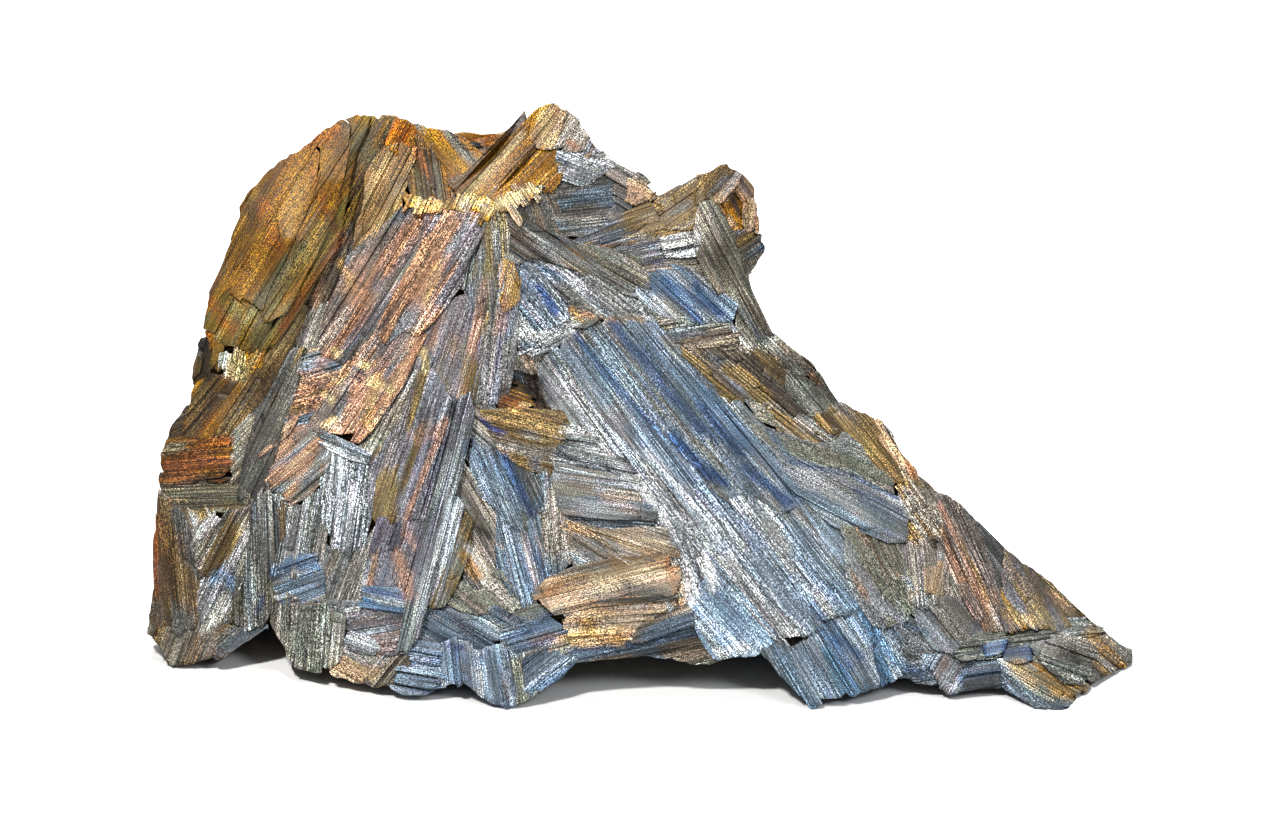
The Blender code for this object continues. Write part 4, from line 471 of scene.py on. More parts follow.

# soft strokes over the blades: colour | strength | radius in drawing units | points. The white and sky strokes over the
# blue fan, from about 568,430 to 722,600, are a painted reflection of light on faces that meet it; the dark and black
# strokes in the hollows, near 203,346, 520 to 548 by 368 to 402, and 731,196, are painted shade.
PAINT = """
ochre|.5|12|262,252 280,206 306,160
gold|.45|9|288,232 306,196 326,156
ochre|.45|9|248,300 262,270
gold|.4|7|236,232 254,196
deep|.8|5|575,338 590,352 612,382 640,412 656,430
deep|.7|4.5|612,322 628,345 660,385 700,432
deep|.6|4|640,350 668,385 700,425 716,442
deep|1|7|672,436 690,455 706,471 724,482
deep|.95|6.5|700,402 716,425 740,454
deep|.9|6.5|745,468 765,485 790,502
blue|.5|8|590,350 640,420 700,490 760,545
blue|.5|7|650,340 700,395 760,450 800,500
blue|.5|7|796,556 830,590 852,606
deep|.5|4|812,604 824,622
blue|.6|4|768,430 792,462
deep|.8|5|666,284 680,300 698,318
deep|.85|4.5|694,284 706,302 720,312
blue|.6|9|655,285 700,300
navy|1|5|539,288 546,298 555,313
blue|.3|18|530,285 550,320
navy|.9|3.5|480,420 490,428 502,432
deep|.85|6|504,455 515,480 531,514
blue|.5|6|534,462 547,482 540,506
blue|.55|10|512,555 530,592
deep|.55|6|536,556 546,574
deep|.85|2.2|788,461 820,468 850,475 897,498
deep|.7|2|853,489 880,500 902,513
black|.85|1.8|860,525 880,533 904,543
blue|.4|9|866,500 888,522
blue|.75|6|214,580 222,572 233,588
deep|.7|3|263,598 256,614
deep|.75|4.5|366,590 404,598
blue|.7|3|362,604 396,611
blue|.6|7|275,572 300,560 316,562
blue|.5|8|436,662 460,654 480,662
navy|.75|3.4|444,644 462,648
blue|.4|8|440,668 470,682
blue|.5|10|780,656 800,690
deep|.65|6|832,638 850,668
blue|.5|8|855,620 882,650
blue|.45|7|800,650 832,692
deep|.7|5|842,640 860,655
steel|.7|7|905,668 932,679
deep|.5|5|905,668 922,674
blue|.6|7|960,674 1002,668
deep|.85|4|984,649 1006,645
deep|.85|5|1004,655 1031,650
blue|.6|4|903,624 926,633
ink|.75|5|694,556 700,580
blue|.45|9|470,446 500,474
blue|.45|4|640,242 662,250
navy|.6|4|652,261 661,264
blue|.45|6|505,640 560,612
blue|.4|5|500,656 560,640
blue|.45|5|530,690 580,666
deep|.45|2.5|570,652 640,643 700,634
steel|.5|8|402,674 432,681
sky|.5|14|712,600 745,640
blue|.5|10|708,588 738,628
white|.45|10|332,452 346,500 340,540
white|.85|6|451,505 446,530 438,560
white|.75|5|198,534 220,514
white|.35|8|226,600 206,626
white|.75|4.5|520,332 548,338 575,326
white|.65|6|568,430 600,450 640,486
sky|.5|7|640,440 690,502 722,548
white|.5|3.5|648,450 690,502 716,540
white|.8|4.5|640,488 656,506
white|.8|6|704,556 713,586
white|.6|6|690,568 694,600
white|.6|5|718,652 745,648
white|.9|6|665,246 696,238
black|.8|1.3|664,243 696,236
black|.7|1.2|666,251 697,246
black|.8|1.6|612,246 660,240
black|.7|1.6|618,253 664,250
white|.4|6|590,166 612,158
white|.5|5|566,176 577,164
cream|.8|5|498,205 512,197 528,190
cream|.6|3|530,191 540,190
cream|.8|5|460,198 476,203 490,210
gold|.45|5|400,200 424,206 448,206
brightgold|.8|2.6|408,198 420,204
brightgold|.8|2.6|432,206 444,205
white|.8|4|353,638 374,646
white|.6|5|938,672 956,688
white|.9|3|999,654 1004,664
white|.7|4|468,548 482,582
sky|.4|10|700,600 722,642
orange|.6|8|260,204 274,242
orange|.7|5|315,172 321,198
red|.7|6|324,208 341,238
orange|.6|8|209,302 229,326
orange|.5|7|303,142 338,130
ochre|.4|10|235,262 250,240
gold|.35|10|290,215 300,180
umber|.45|7|243,190 256,216
grey|.5|10|350,126 372,160
sage|.5|13|302,256 286,280 270,300
sage|.45|11|322,228 312,250
sage|.45|10|284,308 262,338
steel|.5|6.5|287,264 268,290 252,312
steel|.35|5|309,240 292,262
darkgrey|.5|7|266,190 252,210
ochre|.6|9|331,160 314,190 298,216
ochre|.5|7|270,214 256,240
gold|.3|6|256,262 240,300
grey|.4|6|224,312 262,346
red|.8|4|339,240 300,300 281,330
ochre|.5|6|234,346 246,330
red|.75|5|166,472 204,463
orange|.8|5|196,446 229,441
red|.7|5|190,458 230,462
orange|.5|5|170,478 196,474
sage|.7|5|162,449 181,446
black|.8|1.6|164,455 180,457
black|.7|1.6|206,474 228,472
red|.9|4.5|153,508 154,560 157,592
orange|.5|3|155,520 157,575
darkgrey|.55|9|178,510 190,560
darkgrey|.45|8|188,616 196,624
umber|.75|8|503,394 530,398
orange|.5|5|504,401 522,404
brightgold|.9|2.6|520,404 530,406
gold|.8|2.2|510,409 516,411
black|.8|5|528,388 540,400
dark|.6|9|520,368 532,380
ochre|.75|4|572,309 580,319
orange|.5|3|582,313 592,316
ochre|.5|2.6|600,318 642,319
ochre|.85|7|466,556 478,576
copper|.8|3.5|446,420 425,470 405,520
copper|.55|8|436,430 418,436
copper|.85|7|399,556 409,594
copper|.5|4|404,530 414,546
orange|.22|8|606,500 624,506
copper|.75|4|940,505 960,545 987,602
copper|.5|6|950,560 976,612
gold|.55|3|962,545 988,600
gold|.8|6|1008,612 1032,622
ochre|.7|8|1092,634 1106,650
gold|.55|9|1016,664 1032,678
gold|.8|5|1056,692 1068,694
brightgold|1|4|423,352 427,370
brightgold|.75|9|544,116 548,138
orange|.6|4.5|570,142 576,147
brightgold|.85|4|466,194 495,165 522,136
gold|.6|5|470,198 505,160
ochre|.65|8|588,626 618,640
peach|.6|6|606,632 628,626
lightpeach|.6|9|566,594 612,584
lightpeach|.7|11|640,574 678,584
lightpeach|.5|8|628,546 662,544
peach|.5|9|338,672 368,674
peach|.85|5|884,438 903,462
orange|.5|4|908,462 914,474
orange|.6|3.5|812,376 820,384
peach|.5|5|748,204 756,226
dark|.9|5|731,196 740,214
dark|.8|8|203,346 206,374
dark|.75|8|538,384 548,402
dark|.85|5|481,530 490,536
dark|.7|5|929,536 936,546
black|.9|3|1071,652 1077,662
dark|.5|11|776,372 800,408
dark|.4|9|720,350 756,358
black|.9|1.7|546,618 560,610 600,602 640,599 676,598
black|.9|1.9|776,641 790,647 804,639 830,622 852,612
black|.85|1.6|866,656 882,634 906,622
black|.85|1.6|1046,668 1072,685
black|.8|1.4|540,586 546,606 553,618
copper|.45|9|360,262 352,300
copper|.6|10|360,385 350,425
gold|.5|8|378,380 366,420
gold|.6|5|438,268 424,300
gold|.5|4|340,262 356,290
gold|.45|5|325,392 345,372
mauve|.6|5|412,240 385,290 352,340
mauve|.5|5|430,222 404,262
darkgrey|.55|3.5|395,244 372,284
darkgrey|.6|3|402,300 372,340 346,362
mauve|.5|4|446,262 420,300
copper|.7|4.5|485,282 472,350
gold|.7|5|506,264 514,300
copper|.5|6|505,300 500,330
copper|.5|4|300,372 336,392
dark|.55|2|300,378 338,398
dark|.5|2|292,402 322,414
copper|.4|8|395,290 440,318
orange|.5|4|396,124 404,130
orange|.6|4|416,150 432,180
sage|.5|4|412,168 422,196
black|.6|2|424,150 436,190
umber|.5|5|436,180 446,200
tan|.5|8|690,345 740,350
ink|.5|3|572,519 610,522 650,516
umber|.4|8|880,545 900,565
tan|.6|8|930,570 942,592
copper|.4|3|1048,592 1072,612
mauve|.4|8|1010,565 1030,590
copper|.55|7|300,396 316,374 330,350
steel|.5|5|358,333 346,350 338,363
dark|.75|1.4|319,353 335,361
dark|.7|1.4|316,364 331,370
dark|.75|1.6|299,382 322,386
dark|.6|1.4|330,337 345,344
ink|.8|1.5|349,366 362,374
ink|.8|1.5|347,372 362,382
dark|.8|1.4|334,377 344,379
dark|.6|1.4|327,387 338,395
dark|.7|1.5|316,397 326,404
dark|.6|1.7|348,351 323,385 306,417
brightgold|.85|3.5|333,350 338,355
brightgold|.85|3.5|360,362 366,366
brightgold|.8|3|334,380 338,383
brightgold|.8|4.5|371,382 390,390
brightgold|.7|3.5|325,395 331,400
brightgold|.7|4|324,424 334,420
cream|.5|9|596,582 640,572
lightpeach|.5|9|604,628 640,614
umber|.5|14|770,354 812,374 846,402
dark|.4|7|790,362 832,396
tan|.4|5|778,346 812,356
orange|.35|4|545,596 560,584
orange|.35|5|668,560 676,590
gold|.45|5|560,640 620,628
"""

# which piece of the visual model each blade belongs to: the piece starts at the named blade
PIECES = [
    ("rust_rim", "rust_slab"), ("dark_strip", "left_strips"), ("hollow_left", "left_edge"), ("blade_brown", "lower_left"),
    ("tip_orange", "upper_plates"), ("copper_a", "copper_plates"), ("pink_bits", "mid_left"), ("mauve_a", "mauve_blades"),
    ("back_olive", "crest_back"), ("peak_plate", "right_peak"), ("apex_spire", "ridge"), ("crown_grey", "crown"),
    ("plate_blue", "right_shoulder"), ("plate_smooth", "right_plates"), ("copper_wing", "right_wing"), ("fan_a", "blue_fan"),
    ("hem_a", "blue_hem"), ("floor_a", "floor_blades"), ("crevice_rust", "centre"), ("band_rough", "white_band"),
    ("fill_umber", "seams"), ("block_peach", "peach_block"),
]


def linear(code):
    out = []
    for i in (0, 2, 4):
        c = int(code[i:i + 2], 16) / 255.0
        out.append(c / 12.92 if c <= 0.04045 else ((c + 0.055) / 1.055) ** 2.4)
    return np.array(out)


def richer(colour, by):
    grey = colour @ np.array([0.2126, 0.7152, 0.0722])
    return np.clip(grey + (colour - grey) * by, 0.004, 1.0)


TONES = {k: np.array([richer(linear(c), 1.4) for c in v]) for k, v in FAMILY.items()}
INKS = {k: linear(v) for k, v in PAINT_COLOUR.items()}


def points_of(text):
    return [tuple(float(n) for n in pair.split(",")) for pair in text.split()]


def area_of(points):
    return 0.5 * sum(a[0] * b[1] - b[0] * a[1] for a, b in zip(points, points[1:] + points[:1]))


def grown(points, by):
    if area_of(points) < 0:
        points = points[::-1]
    made, count = [], len(points)
    for i in range(count):
        before, here, after = points[i - 1], points[i], points[(i + 1) % count]
        first = Vector((here[0] - before[0], here[1] - before[1])).normalized()
        second = Vector((after[0] - here[0], after[1] - here[1])).normalized()
        normal = Vector((first.y, -first.x)) + Vector((second.y, -second.x))
        if normal.length < 0.3:
            normal = Vector((first.y, -first.x))
        normal.normalize()
        made.append((here[0] + normal.x * by, here[1] + normal.y * by))
    return made


def place(u, v, depth):
    """Points of the drawing at these depths, in millimetres."""
    u, v, depth = np.asarray(u, float), np.asarray(v, float), np.asarray(depth, float)
    spread = UNIT * (1.0 + depth / EYE)
    across, up = (u - MID_U) * spread, (MID_V - v) * spread
    return np.stack([across + SHIFT[0], up * SIN + depth * COS + SHIFT[1], SHEET_Z + up * COS - depth * SIN], axis=-1)


def seen_at(points):
    """Drawing coordinates of points in millimetres, for a viewer at the drawing's eye."""
    p = np.asarray(points, float) - np.array([SHIFT[0], SHIFT[1], SHEET_Z])
    up = p[..., 1] * SIN + p[..., 2] * COS
    depth = p[..., 1] * COS - p[..., 2] * SIN
    spread = UNIT * (1.0 + depth / EYE)
    return MID_U + p[..., 0] / spread, MID_V - up / spread, depth


def ground_depth(u, v):
    a = (MID_V - np.asarray(v, float)) * UNIT * COS
    return (SHEET_Z + a - 0.05) / (SIN - a / EYE)


class Relief:
    def __init__(self, text):
        rows = np.array([[float(n) for n in row.split(",")] for row in text.split()])
        self.at = rows[:, :2]
        gap = np.linalg.norm(self.at[:, None] - self.at[None], axis=2)
        self.mean = rows[:, 2].mean()
        self.weight = np.linalg.solve(gap + np.eye(len(rows)) * 1e-6, rows[:, 2] - self.mean)

    def __call__(self, u, v):
        u, v = np.asarray(u, float), np.asarray(v, float)
        return np.hypot(u[..., None] - self.at[:, 0], v[..., None] - self.at[:, 1]) @ self.weight + self.mean


def hashed(ix, iy, seed):
    n = np.sin(ix * 127.1 + iy * 311.7 + seed * 74.7) * 43758.5453
    return n - np.floor(n)


def noise(x, y, seed=0.0):
    """Smooth value noise from 0 to 1."""
    x, y = np.asarray(x, float), np.asarray(y, float)
    ix, iy = np.floor(x), np.floor(y)
    fx, fy = x - ix, y - iy
    fx, fy = fx * fx * (3 - 2 * fx), fy * fy * (3 - 2 * fy)
    a, b = hashed(ix, iy, seed), hashed(ix + 1, iy, seed)
    c, d = hashed(ix, iy + 1, seed), hashed(ix + 1, iy + 1, seed)
    return (a * (1 - fx) + b * fx) * (1 - fy) + (c * (1 - fx) + d * fx) * fy


def edges_of(points):
    p = np.array(points, float)
    return np.column_stack([p, np.roll(p, -1, 0)])


def spans(edges, t):
    """Where the line at this t crosses the outline, as a list of (low s, high s)."""
    s0, t0, s1, t1 = edges.T
    hit = (t0 > t) != (t1 > t)
    cuts = np.sort(s0[hit] + (s1[hit] - s0[hit]) * (t - t0[hit]) / (t1[hit] - t0[hit])).tolist()
    return list(zip(cuts[::2], cuts[1::2]))


def all_inside(u, v, edges):
    """Whether every one of these points lies inside the outline."""
    u0, v0, u1, v1 = edges.T
    u, v = np.asarray(u, float)[:, None], np.asarray(v, float)[:, None]
    level = np.where(v1 == v0, 1.0, v1 - v0)
    hit = ((v0 > v) != (v1 > v)) & (u < (u1 - u0) * (v - v0) / level + u0)
    return bool((hit.sum(1) % 2 == 1).all())


def common(first, second):
    out = []
    for a, b in first:
        for c, d in second:
            low, high = max(a, c), min(b, d)
            if high - low > 0.4:
                out.append((low, high))
    return out


class Pile:
    """Gathers laths of one piece of the visual model: corners, faces and what the finish reads."""

    def __init__(self):
        self.co, self.col, self.grain, self.fx, self.faces, self.count = [], [], [], [], [], 0

    def add(self, co, col, grain, fx, quads):
        self.co.append(co)
        self.col.append(col)
        self.grain.append(grain)
        self.fx.append(fx)
        self.faces.append(quads + self.count)
        self.count += len(co)

    def mesh(self, name):
        co = np.concatenate(self.co) * MM
        faces = np.concatenate(self.faces)
        me = bpy.data.meshes.new(name)
        me.vertices.add(len(co))
        me.vertices.foreach_set("co", co.astype(np.float32).ravel())
        me.loops.add(faces.size)
        me.loops.foreach_set("vertex_index", faces.astype(np.int32).ravel())
        me.polygons.add(len(faces))
        me.polygons.foreach_set("loop_start", np.arange(0, faces.size, 4, dtype=np.int32))
        me.update(calc_edges=True)
        me.validate()
        col = np.concatenate(self.col)
        me.attributes.new("Tone", "FLOAT_COLOR", "POINT").data.foreach_set(
            "color", np.concatenate([col, np.ones((len(col), 1))], axis=1).astype(np.float32).ravel())
        fx = np.concatenate(self.fx)
        me.attributes.new("GlintsAndFlecks", "FLOAT_COLOR", "POINT").data.foreach_set(
            "color", fx.astype(np.float32).ravel())
        me.attributes.new("Grain", "FLOAT_VECTOR", "POINT").data.foreach_set(
            "vector", np.concatenate(self.grain).astype(np.float32).ravel())
        obj = bpy.data.objects.new(name, me)
        bpy.context.scene.collection.objects.link(obj)
        return obj


def lath_grid(s_low, s_high, t_cols, heights, step, skirt, chamfer, edge_drop, rng):
    """One slat: columns along the grain over a grid of rows, lowered at its rim, with sides that go down by skirt."""
    cols = len(t_cols)
    low, high = np.array(s_low), np.array(s_high)
    n = max(2, int(round((high.max() - low.min()) / step)) + 1)
    share = np.linspace(0.0, 1.0, n)
    s = low[None, :] + (high - low)[None, :] * share[:, None]
    t = np.repeat(np.array(t_cols)[None, :], n, axis=0)
    h = np.repeat(np.array(heights)[None, :], n, axis=0)
    edge = min(0.5, 0.25 * float(np.min(high - low)))
    s = np.concatenate([s[:1], s[:1] + edge, s[1:-1], s[-1:] - edge, s[-1:]])
    t = np.concatenate([t[:1], t, t[-1:]])
    h = np.concatenate([h[:1], h, h[-1:]])
    h[0] -= chamfer * rng.uniform(0.6, 1.8)
    h[-1] -= chamfer * rng.uniform(0.6, 1.8)
    h[:, 0] -= edge_drop
    h[:, -1] -= edge_drop
    rows = n + 2
    kind = np.zeros((rows, cols))
    kind[0] = kind[-1] = 0.5
    kind[:, 0] = kind[:, -1] = 0.5
    index = np.arange(rows * cols).reshape(rows, cols)
    quads = np.stack([index[:-1, :-1], index[:-1, 1:], index[1:, 1:], index[1:, :-1]], axis=-1).reshape(-1, 4)
    ring = np.concatenate([index[0, :], index[1:, -1], index[-1, -2::-1], index[-2:0:-1, 0]])
    low_ring = rows * cols + np.arange(len(ring))
    after = np.roll(np.arange(len(ring)), -1)
    sides = np.stack([ring, low_ring, low_ring[after], ring[after]], axis=-1)
    sf, tf, hf = s.ravel(), t.ravel(), h.ravel()
    s_all = np.concatenate([sf, sf[ring]])
    t_all = np.concatenate([tf, tf[ring]])
    h_all = np.concatenate([hf, hf[ring] - skirt])
    kind = np.concatenate([kind.ravel(), np.ones(len(ring))])
    return s_all, t_all, h_all, kind, np.concatenate([quads, sides])


def tone_of(first, second, share, level, mix_noise):
    """Colour from the two families: level runs dark, middle, light; mix_noise picks the family."""
    pick = np.clip((mix_noise - (1.0 - share)) * 3.0 + 0.5, 0, 1)[:, None]
    def ramp(tones):
        lv = np.clip(level, 0, 1)[:, None]
        low = tones[0] + (tones[1] - tones[0]) * np.clip(lv * 2, 0, 1)
        return low + (tones[2] - tones[1]) * np.clip(lv * 2 - 1, 0, 1)
    return ramp(TONES[first]) * (1 - pick) + ramp(TONES[second]) * pick


STROKES = []
for row in PAINT.strip().splitlines():
    ink, strength, radius, pts = row.split("|")
    STROKES.append((INKS[ink], float(strength), float(radius), np.array(points_of(pts))))


def painted(col, u, v, gs, gt, seed):
    """The listed strokes laid over the colours, with edges broken up along the grain."""
    for ink, strength, radius, line in STROKES:
        lo, hi = line.min(0) - radius * 1.6, line.max(0) + radius * 1.6
        near = (u > lo[0]) & (u < hi[0]) & (v > lo[1]) & (v < hi[1])
        if not near.any():
            continue
        uu, vv = u[near], v[near]
        best = np.full(len(uu), 1e9)
        for (ax, ay), (bx, by) in zip(line[:-1], line[1:]):
            dx, dy = bx - ax, by - ay
            k = np.clip(((uu - ax) * dx + (vv - ay) * dy) / (dx * dx + dy * dy), 0, 1)
            best = np.minimum(best, np.hypot(uu - ax - k * dx, vv - ay - k * dy))
        rough = 0.6 * noise(gs[near] / 30.0, gt[near] / 1.9, seed + 3.0) + 0.4 * noise(gs[near] / 11.0, gt[near] / 4.0, seed + 4.0) - 0.5
        if radius < 2.6:
            mask = np.clip(1.6 - best / radius, 0, 1) * (0.75 + 0.5 * rough)
        else:
            mask = np.clip((1.0 - best / (radius * 1.3)) * 1.5 + rough * 1.5, 0, 1)
        mask = (np.clip(mask, 0, 1) * strength)[:, None]
        col[near] = col[near] * (1 - mask) + ink * mask
    return col


def nibbled(points):
    """The outline in short steps, moved in and out a little so that its edge is broken and not ruled."""
    made = []
    travelled = 0.0
    for a, b in zip(points, points[1:] + points[:1]):
        length = math.hypot(b[0] - a[0], b[1] - a[1])
        out = ((b[1] - a[1]) / length, -(b[0] - a[0]) / length)
        steps = max(1, int(length / 3.5))
        for k in range(steps):
            x = travelled + length * k / steps
            push = 4.4 * (float(noise(x / 4.5, 0.5, 1.0)) - 0.5) + 3.6 * (float(noise(x / 13.0, 0.5, 2.0)) - 0.5)
            if k == 0:
                push *= 0.5
            made.append((a[0] + (b[0] - a[0]) * k / steps + out[0] * push, a[1] + (b[1] - a[1]) * k / steps + out[1] * push))
        travelled += length
    return made


SILHOUETTE = nibbled(points_of(OUTLINE))


LEVEL = 0.5
ALBEDO = 0.372



ACCENTS = [(330, "rustgrey slate ochre umber slate bluegrey"), (560, "mauve copper bluegrey palegrey umber steel"),
           (860, "steel bluegrey palegrey sage beige blue"), (2000, "sage greybrown steel beige copper mauve")]


def lathed(pile, middle, along, across, parts, put, seed, finish, tinted, calm=1.0):
    """Puts prepared slats into the pile. put turns drawing points and heights into places in millimetres."""
    first, second, share, w_low, w_high, scatter, parting, white, dark, tone = finish
    s = np.concatenate([p[0] for p in parts])
    tt = np.concatenate([p[1] for p in parts])
    h = np.concatenate([p[2] for p in parts])
    kind = np.concatenate([p[3] for p in parts])
    r1, r2, r3 = (np.concatenate([np.full(len(p[0]), p[i]) for p in parts]) for i in (5, 6, 7))
    quads, count = [], 0
    for p in parts:
        quads.append(p[4] + count)
        count += len(p[0])
    quads = np.concatenate(quads)
    u = middle[0] + s * along[0] + tt * across[0]
    v = middle[1] + s * along[1] + tt * across[1]
    h = h + (noise(s / 60.0, tt / 12.0, seed) - 0.5) * (0.06 + 0.35 * scatter) + (noise(s / 30.0, tt / 3.4, seed + 1) - 0.5) * (0.02 + 0.12 * scatter)
    co, u_at, v_at = put(u, v, h)
    co[:, 2] = np.maximum(co[:, 2], 0.03)
    level = LEVEL + calm * (0.22 * (r1 - 0.5) + 0.62 * (noise(s / 60.0, tt / 11.0, seed + 5) - 0.5) + 0.32 * (noise(s / 30.0, tt / 3.4, seed + 6) - 0.5) + 0.26 * (noise(s / 20.0, tt / 1.7, seed + 9) - 0.5))
    mixing = 0.15 * r2 + 0.60 * noise(s / 55.0, tt / 13.0, seed + 7) + 0.25 * noise(s / 24.0, tt / 5.0, seed + 8)
    mixing = (mixing - 0.5) * 2.8 + 0.5
    col = tone_of(first, second, share, level, mixing)
    picks = next(row[1] for row in ACCENTS if u_at.mean() < row[0]).split()
    accent = picks[int(seed * 7) % len(picks)]
    other = 0.7 * noise(s / 40.0, tt / 9.0, seed + 17) + 0.3 * noise(s / 18.0, tt / 4.0, seed + 18)
    amount = np.clip((other - 0.60) * 5.0, 0, 1) * 0.6 + (r2 > 0.95) * 0.3
    amount = np.clip(amount, 0, 0.7)[:, None]
    col = col * (1 - amount) + tone_of(accent, accent, 0.5, level, mixing) * amount
    if tinted:
        col = painted(col, u_at, v_at, s, tt, seed)
    col *= ALBEDO * tone * (0.93 + 0.14 * r3)[:, None]
    # painted shade: the sides of each slat, which go down into the gaps between slats, are darkened
    low = kind > 0.9
    col[low] *= 0.56
    rim = (kind > 0.4) & ~low
    col[rim] *= np.where(r3[rim] > 0.45, 1.08, 0.96)[:, None]
    streaky = min(1.0, max(0.15, (9.0 - w_high) / 5.0))
    # the first channel is the share of pale flecks, which are painted glints of light; the others are dark flecks,
    # roughness and how streaky the finish is. Slat sides get fewer glints.
    fx = np.column_stack([np.full(len(s), white), np.full(len(s), dark), np.clip(0.35 + 0.3 * r2, 0, 1), np.full(len(s), streaky)])
    fx[low] *= np.array([0.3, 1.0, 1.0, 1.0])
    grain_at = np.column_stack([s + 30.0 * low, tt + 17.0 * low, np.full(len(s), seed * 13.7)])
    pile.add(co, np.clip(col, 0, 1), grain_at, fx, quads)


def slats_in(outline, grain, finish, rng, step, pitch, ragged, wide=1.0, scale=1.0, clip=True, skirt=(2.6, 2.4)):
    """Cuts an outline into slats along its grain: (middle, along, across, slats)."""
    first, second, share, w_low, w_high, scatter, parting, white, dark, tone = finish
    a = math.radians(grain)
    along, across = (math.cos(a), -math.sin(a)), (math.sin(a), math.cos(a))
    middle = np.array(outline).mean(0)

    def to_st(points):
        p = np.array(points, float) - middle
        return np.column_stack([p @ np.array(along), p @ np.array(across)])

    poly_st = to_st(grown(outline, 2.0))
    t_low, t_high = poly_st[:, 1].min(), poly_st[:, 1].max()
    poly_st = edges_of(poly_st)
    edge_st = edges_of(to_st(SILHOUETTE)) if clip else None
    everywhere = [(-2000.0, 2000.0)]

    def limits(t):
        return spans(edge_st, t) if clip else everywhere

    t = t_low - rng.uniform(0, w_low)
    tilt_run = rng.uniform(-1, 1)
    parts = []
    narrow, broad = w_low * 2.0 * wide, w_high * (4.4 if scatter <= 0.3 else 2.8) * wide
    while t < t_high - 0.3:
        width = narrow + (broad - narrow) * rng.random() ** 1.5
        t0, t1 = max(t, t_low + 0.02), min(t + width, t_high - 0.02)
        t += width
        if t1 - t0 < 0.6:
            continue
        count = max(3, int(round((t1 - t0) / pitch)) + 1)
        inner = np.linspace(t0 + 0.3, t1 - 0.3, count) if t1 - t0 > 1.6 else np.array([0.5 * (t0 + t1)])
        cols = [t0, *inner, t1]
        deep = rng.random() < 0.16
        pull = ragged * (rng.random() - 0.35), ragged * (rng.random() - 0.35)
        slant = rng.gauss(0, 0.25), rng.gauss(0, 0.25)
        ends = []
        for c in cols:
            cut = []
            limit = limits(c)
            for low, high in spans(poly_st, c):
                low += pull[0] + slant[0] * (c - t0) + rng.uniform(-0.5, 0.5)
                high -= pull[1] + slant[1] * (c - t0) + rng.uniform(-0.5, 0.5)
                if high - low > 1.0:
                    cut += common([(low, high)], limit)
            ends.append(cut)
        found = ends[len(cols) // 2]
        tilt_run = 0.6 * tilt_run + 0.8 * rng.uniform(-1, 1)
        for s0, s1 in found:
            if s1 - s0 < 1.2:
                continue
            low_ends, high_ends, kept = [], [], []
            for c, cut in zip(cols, ends):
                here = [p for p in cut if p[1] > s0 and p[0] < s1]
                if here:
                    best = max(here, key=lambda p: min(p[1], s1) - max(p[0], s0))
                    low_ends.append(best[0])
                    high_ends.append(best[1])
                    kept.append(c)
            if len(kept) < 2 or max(h - l for l, h in zip(low_ends, high_ends)) < 1.5:
                continue
            breaks = [0.0]
            length = s1 - s0
            if parting > 0.05 and length > 14:
                rate = (parting + 0.05) / 42.0
                k = rng.expovariate(rate) / length
                while k < 1.0 - 6.0 / length:
                    if k - breaks[-1] > 5.0 / length:
                        breaks.append(k)
                    k += rng.expovariate(rate) / length
            breaks.append(1.0)
            height = rng.gauss(0, scatter * 0.19 * scale) * (1.0 if rng.random() > 0.12 else 2.0)
            for b0, b1 in zip(breaks[:-1], breaks[1:]):
                low = [l + (h - l) * b0 for l, h in zip(low_ends, high_ends)]
                high = [l + (h - l) * b1 for l, h in zip(low_ends, high_ends)]
                low = [min(l, h - 0.6) for l, h in zip(low, high)]
                base = height + (rng.gauss(0, scatter * 0.15 * scale) if len(breaks) > 2 else 0.0)
                span = t1 - t0
                tilt = (tilt_run * 0.012 + rng.gauss(0, 0.008)) * min(span, 14.0) * scale
                ribs = [rng.gauss(0, 0.015 + 0.06 * scatter) for _ in kept]
                prof = [base + tilt * (2.0 * (c - t0) / span - 1.0) + r for c, r in zip(kept, ribs)]
                drop = 0.16 if deep else 0.02
                s, tt, h, kind, quads = lath_grid(low, high, kept, prof, step, skirt[0] + skirt[1] * rng.random() ** 1.6, 0.04 + 0.10 * rng.random(), drop, rng)
                parts.append((s, tt, h, kind, quads, rng.random(), rng.random(), rng.random()))
    return middle, along, across, parts


def slab_outline(at, turn, long, broad, rng):
    """A long outline with straight sides and slanted broken ends, along this angle."""
    way, flat = (math.cos(turn), -math.sin(turn)), (math.sin(turn), math.cos(turn))
    a, b, c = rng.uniform(-0.2, 0.2), rng.uniform(-0.2, 0.2), rng.uniform(-0.15, 0.15)
    shape = [(-0.5 + a, -0.5), (-0.5 - a * 0.3, 0.0), (-0.5 - a, 0.5), (0.1 + c, 0.52), (0.5 + b, 0.46), (0.5 - b * 0.2, 0.0), (0.5 - b, -0.5), (c, -0.52)]
    return [(at[0] + way[0] * x * long + flat[0] * y * broad, at[1] + way[1] * x * long + flat[1] * y * broad) for x, y in shape]


